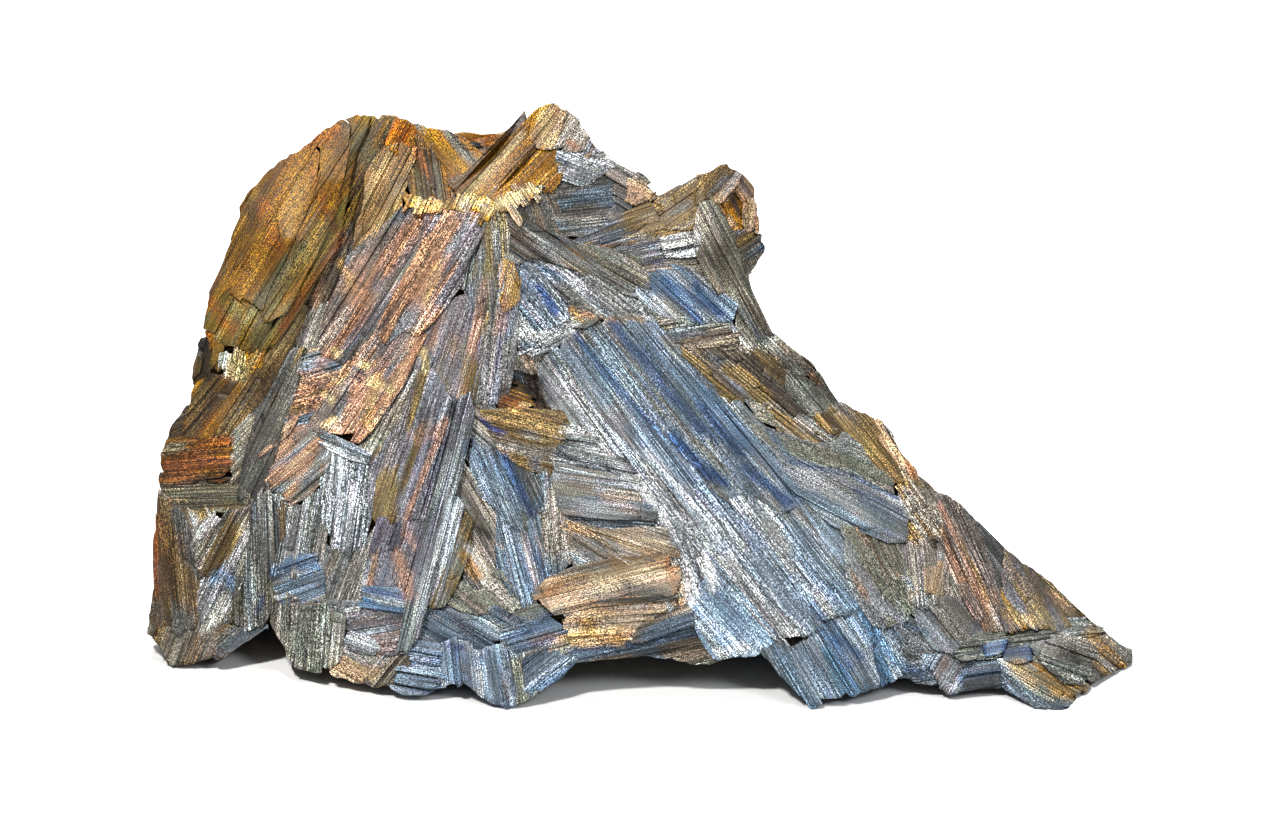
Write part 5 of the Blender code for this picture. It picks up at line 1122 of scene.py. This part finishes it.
def blade_face(pile, name, grain, lift, outline, finish, relief, rng, seed, calm, step=6.0, pitch=1.6):
    """A blade face of the best side, made of slats along its grain."""
    pts = np.array(outline)
    rows = np.column_stack([pts, np.ones(len(pts))])
    depth = np.minimum(relief(pts[:, 0], pts[:, 1]), ground_depth(pts[:, 0], pts[:, 1]))
    plane = np.linalg.lstsq(rows, depth, rcond=None)[0]

    def put_at(more):
        def put(u, v, h):
            flat = u * plane[0] + v * plane[1] + plane[2]
            bent = relief(u, v)
            return place(u, v, flat * 0.3 + np.clip(bent, flat - 2.5, flat + 2.5) * 0.7 - lift * 0.38 - more - h), u, v
        return put

    middle, along, across, parts = slats_in(outline, grain, finish, rng, step, pitch, 2.5 + 9.0 * finish[5])
    if parts:
        lathed(pile, middle, along, across, parts, put_at(0.0), seed, finish, True, calm)
    # splinters left standing on the face
    size = abs(area_of(outline))
    count = int(size / 1500.0 * max(0.0, finish[5] - 0.2) * 2.0 + rng.random() * 0.7)
    low, high = pts.min(0), pts.max(0)
    made = 0
    for _ in range(count * 6):
        if made >= count:
            break
        at = (rng.uniform(low[0], high[0]), rng.uniform(low[1], high[1]))
        if not inside(at, outline):
            continue
        turn = math.radians(grain + rng.gauss(0, 4))
        lens = slab_outline(at, turn, rng.uniform(16, 60), rng.uniform(3, 9), rng)
        if not all(inside(p, SILHOUETTE) for p in lens):
            continue
        m, al, ac, parts = slats_in(lens, math.degrees(turn), finish, rng, step, pitch, 1.5)
        if parts:
            lathed(pile, m, al, ac, parts, put_at(rng.uniform(0.06, 0.25)), seed + 0.37 * made, finish, True, calm)
        made += 1


def inside(point, outline):
    hit = False
    for a, b in zip(outline, outline[1:] + outline[:1]):
        if (a[1] > point[1]) != (b[1] > point[1]) and point[0] < (b[0] - a[0]) * (point[1] - a[1]) / (b[1] - a[1]) + a[0]:
            hit = not hit
    return hit


FINISHES = {}
for row in FINISH.strip().splitlines():
    words = row.split()
    FINISHES[words[0]] = (words[1], words[2], *(float(w) for w in words[3:]))

PIECE_TONE = {"rust_slab": 0.76, "left_strips": 0.74, "left_edge": 0.80, "lower_left": 0.87, "copper_plates": 0.88, "mid_left": 0.80,
              "mauve_blades": 0.90, "ridge": 0.93, "right_wing": 0.67, "peach_block": 0.98, "seams": 1.1, "blue_hem": 1.19,
              "crest_back": 0.82, "upper_plates": 0.79, "right_plates": 0.83, "white_band": 0.86, "right_shoulder": 0.94, "centre": 0.92, "blue_fan": 0.95, "crown": 0.97}

PIECE_TINT = {"rust_slab": (1.09, 1.02, 0.50), "upper_plates": (0.93, 0.86, 0.58), "left_edge": (1.04, 1.05, 0.91), "mauve_blades": (1.02, 1.12, 1.22),
              "ridge": (1.05, 1.15, 1.35), "floor_blades": (1.07, 1.11, 1.18), "right_wing": (0.94, 1.0, 1.08), "right_shoulder": (0.98, 1.04, 1.13),
              "right_peak": (0.89, 0.87, 0.86), "crest_back": (0.98, 0.98, 1.0), "left_strips": (1.03, 1.05, 1.05), "mid_left": (0.97, 1.04, 1.10),
              "white_band": (1.03, 1.06, 1.07), "seams": (0.98, 1.04, 1.10), "blue_hem": (1.08, 1.0, 0.94), "centre": (1.02, 1.04, 1.05), "lower_left": (1.03, 1.03, 1.03)}
FINE = "copper_d copper_e gold_crumbs gold_chips crevice_rust hollow_mid block_peach rough_peach rust_mid rust_main".split()
front, rear = Relief(FRONT), Relief(REAR)
piles = {piece: Pile() for _, piece in PIECES}
starts = dict(PIECES)
piece = PIECES[0][1]
for number, row in enumerate(PLATES.strip().splitlines()):
    name, grain, lift, style, outline = row.split("|")
    piece = starts.get(name, piece)
    rng = random.Random(1000 + number)
    finish = FINISHES[name][:9] + (FINISHES[name][9] * PIECE_TONE.get(piece, 1.0) * np.array(PIECE_TINT.get(piece, (1.0, 1.0, 1.0))),)
    calm = 0.42 if piece in ("blue_fan", "blue_hem", "right_plates") else 0.92
    blade_face(piles[piece], name, float(grain), float(lift) + 0.25 * math.sin(number * 2.4), points_of(outline),
               finish, front, rng, number + 1.0, calm, 2.5 if name in FINE else 6.0)


# ---------------------------------------------------------------- the sides and the far side
SIDE_MIX = [  # drawing u, v and the finishes found near there on the best side, used on the sides, top and back
    (190, 560, "blade_ochre block_grey blade_brown silver_strip"), (200, 400, "rust_rim dark_strip rust_crest silver_strip"),
    (260, 240, "rust_rim rust_main rust_inner slate_blade"), (350, 140, "rust_rim rust_crest grey_back gold_low"),
    (450, 150, "back_olive rust_crest gold_slab"), (540, 120, "silvery_back slate_back gold_low back_olive"),
    (630, 180, "tan_knob slate_back grey_back apex_spire"), (700, 170, "peak_plate spine peak_rim apex_dark"),
    (760, 280, "rim_brown apex_spire rim_upper mauve_run"), (860, 410, "rim_peach tan_spark plate_smooth copper_wing"),
    (960, 500, "copper_wing mauve_wing slate_wing rim_wing"), (1060, 610, "layers plate_wing copper_low keel"),
    (300, 450, "copper_b mauve_b blade_silver block_grey"), (450, 350, "mauve_a gold_slab stripe_grey copper_d"),
    (450, 560, "stripe_grey foot_facet blade_silver tan_stripes"), (620, 300, "mauve_b gold_low fan_h slate_back"),
    (620, 450, "fan_c fan_e mauve_a hem_b"), (700, 580, "hem_c floor_b fan_d hem_a"),
    (780, 420, "fan_d plate_fold fan_brown hem_a"), (850, 560, "keel hem_dark hem_b agg_b"),
    (950, 600, "layers mauve_wing hem_dark copper_low"), (250, 620, "foot_brown foot_facet blade_brown block_grey"),
]
MIX_AT = np.array([[row[0], row[1]] for row in SIDE_MIX], float)


def finish_near(u, v, rng):
    off = np.hypot(MIX_AT[:, 0] - u, MIX_AT[:, 1] - v) + np.array([rng.uniform(0, 60) for _ in SIDE_MIX])
    return FINISHES[rng.choice(SIDE_MIX[int(off.argmin())][2].split())]


def inner_mass():
    """What the blades stand on: the outline filled from the best side to the far side, cut into cells and set back."""
    rng = random.Random(5)
    bm = bmesh.new()
    base = bm.faces.new([bm.verts.new((u, v, 0.0)) for u, v in grown(points_of(OUTLINE), -7.0)])
    made = bmesh.ops.extrude_face_region(bm, geom=[base])
    fresh = [e for e in made["geom"] if isinstance(e, bmesh.types.BMVert)]
    bmesh.ops.translate(bm, vec=(0, 0, 1), verts=fresh)
    cuts = [((u, 0, 0), (1, 0, 0)) for u in range(165, 1130, 18)]
    cuts += [((0, v, 0), (0, 1, 0)) for v in range(115, 705, 18)]
    cuts += [((0, 0, t), (0, 0, 1)) for t in (0.15, 0.3, 0.45, 0.6, 0.75, 0.9)]
    for at, normal in cuts:
        bmesh.ops.bisect_plane(bm, geom=bm.verts[:] + bm.edges[:] + bm.faces[:], dist=1e-4, plane_co=at, plane_no=normal)
    bmesh.ops.triangulate(bm, faces=bm.faces[:])
    bmesh.ops.recalc_face_normals(bm, faces=bm.faces[:])
    flat = np.array([v.co for v in bm.verts])
    u, v, t = flat.T
    near = np.minimum(front(u, v), ground_depth(u, v)) + 1.75
    far = np.maximum(rear(u, v), near + 5.0) - 0.8
    pull = np.interp(t, [0.0, 0.2, 0.3, 0.68, 1.0], [0.0, 0.006, 0.02, 0.075, 0.17]) + np.where(t > 0.05, 0.012, 0.0)
    set_back = np.interp(t, [0.0, 0.05, 0.15, 0.3], [0.0, 1.5, 1.0, 0.0]) / np.maximum(np.hypot(620.0 - u, 480.0 - v), 40.0)
    u, v = u + (620.0 - u) * (pull + set_back), v + (480.0 - v) * (pull + set_back)
    depth = near + (far - near) * t + np.where(t > 0.05, (noise(u / 13.0, v / 13.0, 2.0) - 0.5) * 1.4, 0.0)
    co = place(u, v, depth)
    co[:, 2] = np.maximum(co[:, 2], 0.0)
    for vert, p in zip(bm.verts, co):
        vert.co = p * MM
    me = bpy.data.meshes.new("inner_mass")
    bm.to_mesh(me)
    bm.free()
    level = 0.44 + 0.5 * (noise(u / 22.0, v / 22.0, 8.0) - 0.5)
    picking = noise(u / 50.0, v / 50.0, 9.0)
    warm = np.clip((500.0 - u) / 160.0 + 0.5, 0.0, 1.0)[:, None]
    col = tone_of("rustgrey", "umber", 0.5, level, picking) * warm + tone_of("greybrown", "steel", 0.3, level, picking) * (1.0 - warm)
    col *= ALBEDO * 1.15
    me.attributes.new("Tone", "FLOAT_COLOR", "POINT").data.foreach_set(
        "color", np.concatenate([col, np.ones((len(col), 1))], axis=1).astype(np.float32).ravel())
    fx = np.tile(np.array([0.15, 0.8, 0.7, 0.5]), (len(col), 1))
    me.attributes.new("GlintsAndFlecks", "FLOAT_COLOR", "POINT").data.foreach_set("color", fx.astype(np.float32).ravel())
    grain = np.column_stack([v, u, depth * 6.0])
    me.attributes.new("Grain", "FLOAT_VECTOR", "POINT").data.foreach_set("vector", grain.astype(np.float32).ravel())
    obj = bpy.data.objects.new("inner_mass", me)
    bpy.context.scene.collection.objects.link(obj)
    faces = np.array([list(p.vertices) for p in me.polygons])
    corners = co[faces]
    normal = np.cross(corners[:, 1] - corners[:, 0], corners[:, 2] - corners[:, 0])
    size = np.linalg.norm(normal, axis=1)
    outer = (t[faces].mean(1) > 0.03) & (size > 1e-6)
    middle, normal, size = corners[outer].mean(1), normal[outer] / size[outer, None], size[outer] * 0.5
    # the order of the faces isn't the same in every run, so they are sorted by place
    order = np.lexsort(np.round(middle, 2).T)
    return obj, middle[order], normal[order], size[order]



def clad(where, facing, size):
    """Blades over the sides, the crest and the far side: slabs laid flat on the inner mass, fanned from the crest."""
    apex = place(585.0, 150.0, 16.0)
    keep = where[:, 2] > 2.0
    where, facing, size = where[keep], facing[keep], size[keep]
    share = np.cumsum(size) / size.sum()
    u_rim, v_rim, _ = seen_at(where)
    rim_at = np.array(SILHOUETTE)
    near_rim = np.array([np.hypot(rim_at[:, 0] - a, rim_at[:, 1] - b).min() < 42.0 for a, b in zip(u_rim, v_rim)]) | (where[:, 2] < 10.0)
    number = 0
    for tier, (spacing, count, long_low, long_high, broad_low, broad_high, lift) in enumerate((
            (6.5, 400, 130, 330, 36, 84, 0.3), (9.0, 190, 90, 230, 22, 50, 0.8), (9.5, 150, 45, 130, 10, 26, 1.2), (3.6, 330, 44, 110, 16, 34, 0.9), (2.4, 300, 22, 52, 9, 18, 0.6))):
        placed = []
        if long_low < 45:
            share = np.cumsum(size * near_rim)
            share /= share[-1]
        for attempt in range(count * 3):
            if len(placed) >= count:
                break
            rng = random.Random(909 + 10000 * tier + attempt)
            k = min(int(np.searchsorted(share, rng.random())), len(where) - 1)
            at = where[k]
            if placed and np.min(np.linalg.norm(np.array(placed) - at, axis=1)) < spacing:
                continue
            close = np.linalg.norm(where - at, axis=1) < 5.5
            normal = (facing[close] * size[close, None]).sum(0)
            if np.linalg.norm(normal) < 1e-6:
                continue
            normal /= np.linalg.norm(normal)
            if normal[2] < -0.55:
                continue
            fan = (at - apex) * np.array([1.0, 0.3, 1.0])
            fan += np.array([0.0, 0.25 * rng.gauss(0, 1), 0.12 * rng.gauss(0, 1)]) * np.linalg.norm(fan)
            if at[2] > 52.0 and normal[2] > 0.3:
                fan = np.array([rng.gauss(0, 0.5), 1.0, rng.gauss(0, 0.4)])
            along = fan - normal * fan.dot(normal)
            if np.linalg.norm(along) < 1e-3:
                continue
            along /= np.linalg.norm(along)
            turn = rng.gauss(0, 0.13)
            across = np.cross(normal, along)
            along, across = along * math.cos(turn) + across * math.sin(turn), across * math.cos(turn) - along * math.sin(turn)
            lean_a, lean_b = rng.gauss(0, 0.035), rng.gauss(0, 0.06)
            u0, v0, _ = seen_at(at)
            finish = list(finish_near(float(u0), float(v0), rng))
            finish[3], finish[4] = finish[3] * 1.4, finish[4] * 1.3
            finish[9] = finish[9] * np.array([0.93, 0.98, 1.12])
            up = lift + rng.uniform(-0.3, 0.7)
            for shrink, less in ((1.0, 0.0), (0.75, 0.3), (0.55, 0.6), (0.4, 0.9), (0.3, 1.2))[:3 if long_low < 45 else 5]:
                long, broad = rng.uniform(long_low, long_high) * shrink, rng.uniform(broad_low, broad_high) * max(shrink, 0.5)
                outline = slab_outline((0.0, 0.0), 0.0, long, broad, rng)
                corners = np.array([at + along * x * UNIT - across * y * UNIT + normal * (up - less + 0.3) for x, y in outline])
                uu, vv, deep = seen_at(corners)
                ub, vb, under = seen_at(corners - normal * 3.5)
                if (deep < front(uu, vv) + 1.7).any() or (under < front(ub, vb) + 1.0).any():
                    continue
                if max(np.linalg.norm(where - c, axis=1).min() for c in corners[::2]) > 3.3 + up:
                    continue
                if corners[:, 2].min() > -4.0 and all_inside(uu, vv, INNER_EDGE):
                    up -= less
                    break
            else:
                continue
            placed.append(at)
            number += 1
            m, al, ac, parts = slats_in(outline, 0.0, tuple(finish), rng, 13.0, 3.4, 7.0, clip=False, skirt=(1.9, 1.9))
            if not parts:
                continue

            def put(u, v, h, at=at, along=along, across=across, normal=normal, up=up, lean_a=lean_a, lean_b=lean_b):
                out = up + h + (u * lean_a + v * lean_b) * UNIT
                co = at + np.outer(u * UNIT, along) - np.outer(v * UNIT, across) + np.outer(out, normal)
                uu, vv, _ = seen_at(co)
                return co, uu, vv

            piece = ("back_" if normal[1] > 0.8 else "side_") + ("left" if u0 < 430 else ("middle" if u0 < 760 else "right"))
            lathed(sides[piece], m, al, ac, parts, put, 500.0 + number, tuple(finish), False)


SIDE_PIECES = ("side_left", "side_middle", "side_right", "back_left", "back_middle", "back_right")
sides = {name: Pile() for name in SIDE_PIECES}
INNER_EDGE = edges_of(grown(points_of(OUTLINE), -0.5))
core, where, facing, size = inner_mass()
clad(where, facing, size)


# ---------------------------------------------------------------- finishes
def kyanite(name, streak=1.0, gloss=0.0, relief_mm=0.05):
    """Cleaved kyanite: streaks along the blade, pale flecks that are painted glints of light, dark flecks, fine ribs in
    the bump.
    """
    mat = bpy.data.materials.new(name)
    mat.use_nodes = True
    nodes, links = mat.node_tree.nodes, mat.node_tree.links
    nodes.clear()

    def node(kind, **inputs):
        n = nodes.new(kind)
        for key, value in inputs.items():
            n.inputs[key.replace("_", " ")].default_value = value
        return n

    def math_node(op, a, b=None, c=None, clamp=False):
        n = nodes.new("ShaderNodeMath")
        n.operation = op
        n.use_clamp = clamp
        for socket, value in zip(n.inputs, (a, b, c)):
            if value is None:
                continue
            if isinstance(value, (int, float)):
                socket.default_value = value
            else:
                links.new(value, socket)
        return n.outputs[0]

    def attribute(which):
        n = nodes.new("ShaderNodeAttribute")
        n.attribute_name = which
        return n

    tone, flecks, grain = attribute("Tone"), attribute("GlintsAndFlecks"), attribute("Grain")
    split = nodes.new("ShaderNodeSeparateColor")
    links.new(flecks.outputs["Color"], split.inputs[0])
    white, dark, rough = split.outputs

    def grained(along, across, detail=3.0, rough_by=0.55, shift=0.0, coloured=False):
        mul = nodes.new("ShaderNodeVectorMath")
        mul.operation = "MULTIPLY_ADD"
        mul.inputs[1].default_value = (along, across, 1.0)
        mul.inputs[2].default_value = (shift, shift * 0.7, shift * 0.3)
        links.new(grain.outputs["Vector"], mul.inputs[0])
        n = nodes.new("ShaderNodeTexNoise")
        n.inputs["Scale"].default_value = 1.0
        n.inputs["Detail"].default_value = detail
        n.inputs["Roughness"].default_value = rough_by
        links.new(mul.outputs[0], n.inputs["Vector"])
        return n.outputs["Color"] if coloured else n.outputs["Fac"]

    streaky = flecks.outputs["Alpha"]
    long_streak = grained(0.012, 0.13, 2.0, 0.5)
    mid_streak = grained(0.020, 0.45, 2.0, 0.55, 7.0)
    fine_streak = grained(0.017, 1.15, 1.0, 0.5, 19.0)
    grit = grained(0.80, 1.35, 0.0, 0.5, 31.0)
    spot = grained(0.22, 0.40, 2.0, 0.6, 57.0)
    crack = grained(0.50, 0.035, 1.0, 0.5, 43.0)

    patchy = math_node("MULTIPLY_ADD", grained(0.016, 0.05, 1.0, 0.5, 91.0), 2.6, -0.35)
    patchy = math_node("MINIMUM", math_node("MAXIMUM", patchy, 0.4), 1.25)

    def centred(value, gain_by, steep=1.0):
        if steep != 1.0:
            value = math_node("MULTIPLY_ADD", math_node("SUBTRACT", value, 0.5), steep, 0.5, clamp=True)
        return math_node("MULTIPLY", math_node("SUBTRACT", value, 0.5), gain_by)

    a = centred(long_streak, math_node("MULTIPLY_ADD", streaky, 0.5 * streak, 0.3 * streak))
    b = centred(mid_streak, math_node("MULTIPLY_ADD", streaky, 0.30 * streak, 0.18 * streak), 2.6)
    c = centred(fine_streak, math_node("MULTIPLY_ADD", streaky, 0.9 * streak, 1.1 * streak), 4.0)
    d = centred(grit, math_node("MULTIPLY_ADD", streaky, -0.3 * streak, 2.5 * streak), 5.0)
    # the fine streak contrast is raised where the flecks attribute asks for painted glints of light
    sparkle = math_node("MULTIPLY", patchy, math_node("MULTIPLY_ADD", white, 0.34, 0.76))
    total = math_node("ADD", math_node("ADD", a, b), math_node("MULTIPLY", math_node("ADD", c, d), sparkle))
    gain = math_node("MULTIPLY", math_node("POWER", 2.6, total), 0.76)

    hue = nodes.new("ShaderNodeVectorMath")
    hue.operation = "MULTIPLY_ADD"
    links.new(grained(0.022, 0.16, 2.0, 0.6, 71.0, True), hue.inputs[0])
    hue.inputs[1].default_value = (0.42, 0.24, 0.42)
    hue.inputs[2].default_value = (0.79, 0.88, 0.79)
    wandered = nodes.new("ShaderNodeVectorMath")
    wandered.operation = "MULTIPLY"
    links.new(tone.outputs["Color"], wandered.inputs[0])
    links.new(hue.outputs[0], wandered.inputs[1])
    scaled = nodes.new("ShaderNodeVectorMath")
    scaled.operation = "SCALE"
    links.new(wandered.outputs[0], scaled.inputs[0])
    links.new(gain, scaled.inputs["Scale"])

    # pale flecks: painted glints of light, small spots lifted towards white on the blade faces
    glint_at = math_node("MULTIPLY", math_node("SUBTRACT", math_node("ADD", math_node("MULTIPLY", spot, 0.45), math_node("MULTIPLY", grit, 0.55)), 0.60), 18.0, clamp=True)
    pale = math_node("MULTIPLY", math_node("MULTIPLY", glint_at, white), 0.8)
    dark_at = math_node("MULTIPLY", math_node("SUBTRACT", 0.42, math_node("ADD", math_node("MULTIPLY", spot, 0.5), math_node("MULTIPLY", fine_streak, 0.5))), 14.0, clamp=True)
    crack_at = math_node("MULTIPLY", math_node("SUBTRACT", 0.345, crack), 22.0, clamp=True)
    dark_all = math_node("MULTIPLY", math_node("MAXIMUM", dark_at, crack_at), math_node("MULTIPLY", dark, 0.6))

    def mix(fac, first, second):
        n = nodes.new("ShaderNodeMix")
        n.data_type = "RGBA"
        links.new(fac, n.inputs[0])
        for value, socket in ((first, n.inputs[6]), (second, n.inputs[7])):
            if isinstance(value, tuple):
                socket.default_value = value
            else:
                links.new(value, socket)
        return n.outputs[2]

    painted_glint_colour = nodes.new("ShaderNodeVectorMath")
    painted_glint_colour.operation = "MULTIPLY_ADD"
    links.new(scaled.outputs[0], painted_glint_colour.inputs[0])
    painted_glint_colour.inputs[1].default_value = (2.5, 2.5, 2.5)
    painted_glint_colour.inputs[2].default_value = (0.06, 0.06, 0.06)
    darker = nodes.new("ShaderNodeVectorMath")
    darker.operation = "MULTIPLY"
    links.new(scaled.outputs[0], darker.inputs[0])
    darker.inputs[1].default_value = (0.24, 0.22, 0.20)
    colour = mix(pale, scaled.outputs[0], painted_glint_colour.outputs[0])
    colour = mix(dark_all, colour, darker.outputs[0])

    height = math_node("ADD", math_node("MULTIPLY", mid_streak, 0.55), math_node("MULTIPLY", fine_streak, 0.45))
    height = math_node("SUBTRACT", height, math_node("MULTIPLY", crack_at, 0.3))
    bump = nodes.new("ShaderNodeBump")
    bump.inputs["Strength"].default_value = 0.9
    bump.inputs["Distance"].default_value = relief_mm * 0.001 * 2.2
    links.new(height, bump.inputs["Height"])

    shader = nodes.new("ShaderNodeBsdfPrincipled")
    links.new(colour, shader.inputs["Base Color"])
    r = math_node("ADD", math_node("MULTIPLY", rough, 0.45), math_node("MULTIPLY", fine_streak, 0.35))
    links.new(math_node("ADD", r, 0.12 - gloss, clamp=True), shader.inputs["Roughness"])
    shader.inputs["IOR"].default_value = 1.6
    shader.inputs["Specular IOR Level"].default_value = 0.15
    links.new(bump.outputs[0], shader.inputs["Normal"])
    out = nodes.new("ShaderNodeOutputMaterial")
    links.new(shader.outputs[0], out.inputs[0])
    return mat


blades_finish = kyanite("kyanite_blades")
side_finish = kyanite("kyanite_sides", streak=0.9)
inner_finish = kyanite("kyanite_inner", streak=0.8, gloss=-0.2)

shown = []
for name, pile in {**piles, **sides}.items():
    obj = pile.mesh(name)
    obj.data.materials.append(side_finish if name in sides else blades_finish)
    shown.append(obj)
core.data.materials.append(inner_finish)
shown.append(core)
for obj in shown:
    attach(obj, "root")
    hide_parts("kyanite_cluster")

# ---------------------------------------------------------------- floor, light and camera
def pale_floor():
    me = bpy.data.meshes.new("floor")
    r = 6.0
    me.from_pydata([(-r, -r, 0), (r, -r, 0), (r, r, 0), (-r, r, 0)], [], [(0, 1, 2, 3)])
    obj = bpy.data.objects.new("floor", me)
    bpy.context.scene.collection.objects.link(obj)
    mat = bpy.data.materials.new("floor_white")
    mat.use_nodes = True
    shader = mat.node_tree.nodes["Principled BSDF"]
    shader.inputs["Base Color"].default_value = (0.62, 0.62, 0.62, 1)
    shader.inputs["Roughness"].default_value = 0.9
    shader.inputs["Specular IOR Level"].default_value = 0.1
    me.materials.append(mat)


def soft_light(name, at, size, power, colour, aim=(0, 0, 0.03)):
    data = bpy.data.lights.new(name, "AREA")
    data.shape = "RECTANGLE"
    data.size, data.size_y = size
    data.energy = power
    data.color = colour
    obj = bpy.data.objects.new(name, data)
    obj.location = at
    obj.rotation_euler = (Vector(aim) - Vector(at)).to_track_quat("-Z", "Y").to_euler()
    bpy.context.scene.collection.objects.link(obj)


pale_floor()
scene = bpy.context.scene
world = bpy.data.worlds.new("studio")
scene.world = world
world.use_nodes = True
world.node_tree.nodes["Background"].inputs[0].default_value = (1.0, 1.0, 1.0, 1)
world.node_tree.nodes["Background"].inputs[1].default_value = 0.16
soft_light("key", (-0.24, -0.22, 0.56), (0.07, 0.07), 3.8, (1.0, 0.98, 0.955))
soft_light("fill", (0.40, -0.34, 0.40), (0.2, 0.2), 1.3, (0.95, 0.98, 1.0))
soft_light("behind", (0.15, 0.55, 0.35), (0.4, 0.3), 2.6, (1.0, 1.0, 1.0))
sky = bpy.data.lights.new("overhead", "SUN")
sky.energy = 2.8
sky.angle = math.radians(6.0)
overhead = bpy.data.objects.new("overhead", sky)
overhead.rotation_euler = (Vector((0.10, -0.34, -1.0))).to_track_quat("-Z", "Y").to_euler()
scene.collection.objects.link(overhead)

scene.view_settings.view_transform = "Standard"
scene.view_settings.look = "None"
scene.view_settings.exposure = 0.55
scene.view_settings.gamma = 1.0

camera = bpy.data.cameras.new("camera")
camera.sensor_width = 36.0
camera.lens = 36.0 * EYE / (1280.0 * UNIT)
camera.clip_start = 0.05
camera.clip_end = 20.0
viewer = bpy.data.objects.new("camera", camera)
viewer.location = (SHIFT[0] * MM, (SHIFT[1] - EYE * COS) * MM, (SHEET_Z + EYE * SIN) * MM)
viewer.rotation_euler = (math.radians(90.0) - TILT, 0.0, 0.0)
scene.collection.objects.link(viewer)
scene.camera = viewer

print("triangles", sum(2 * len(o.data.polygons) for o in shown), {o.name: 2 * len(o.data.polygons) for o in shown})
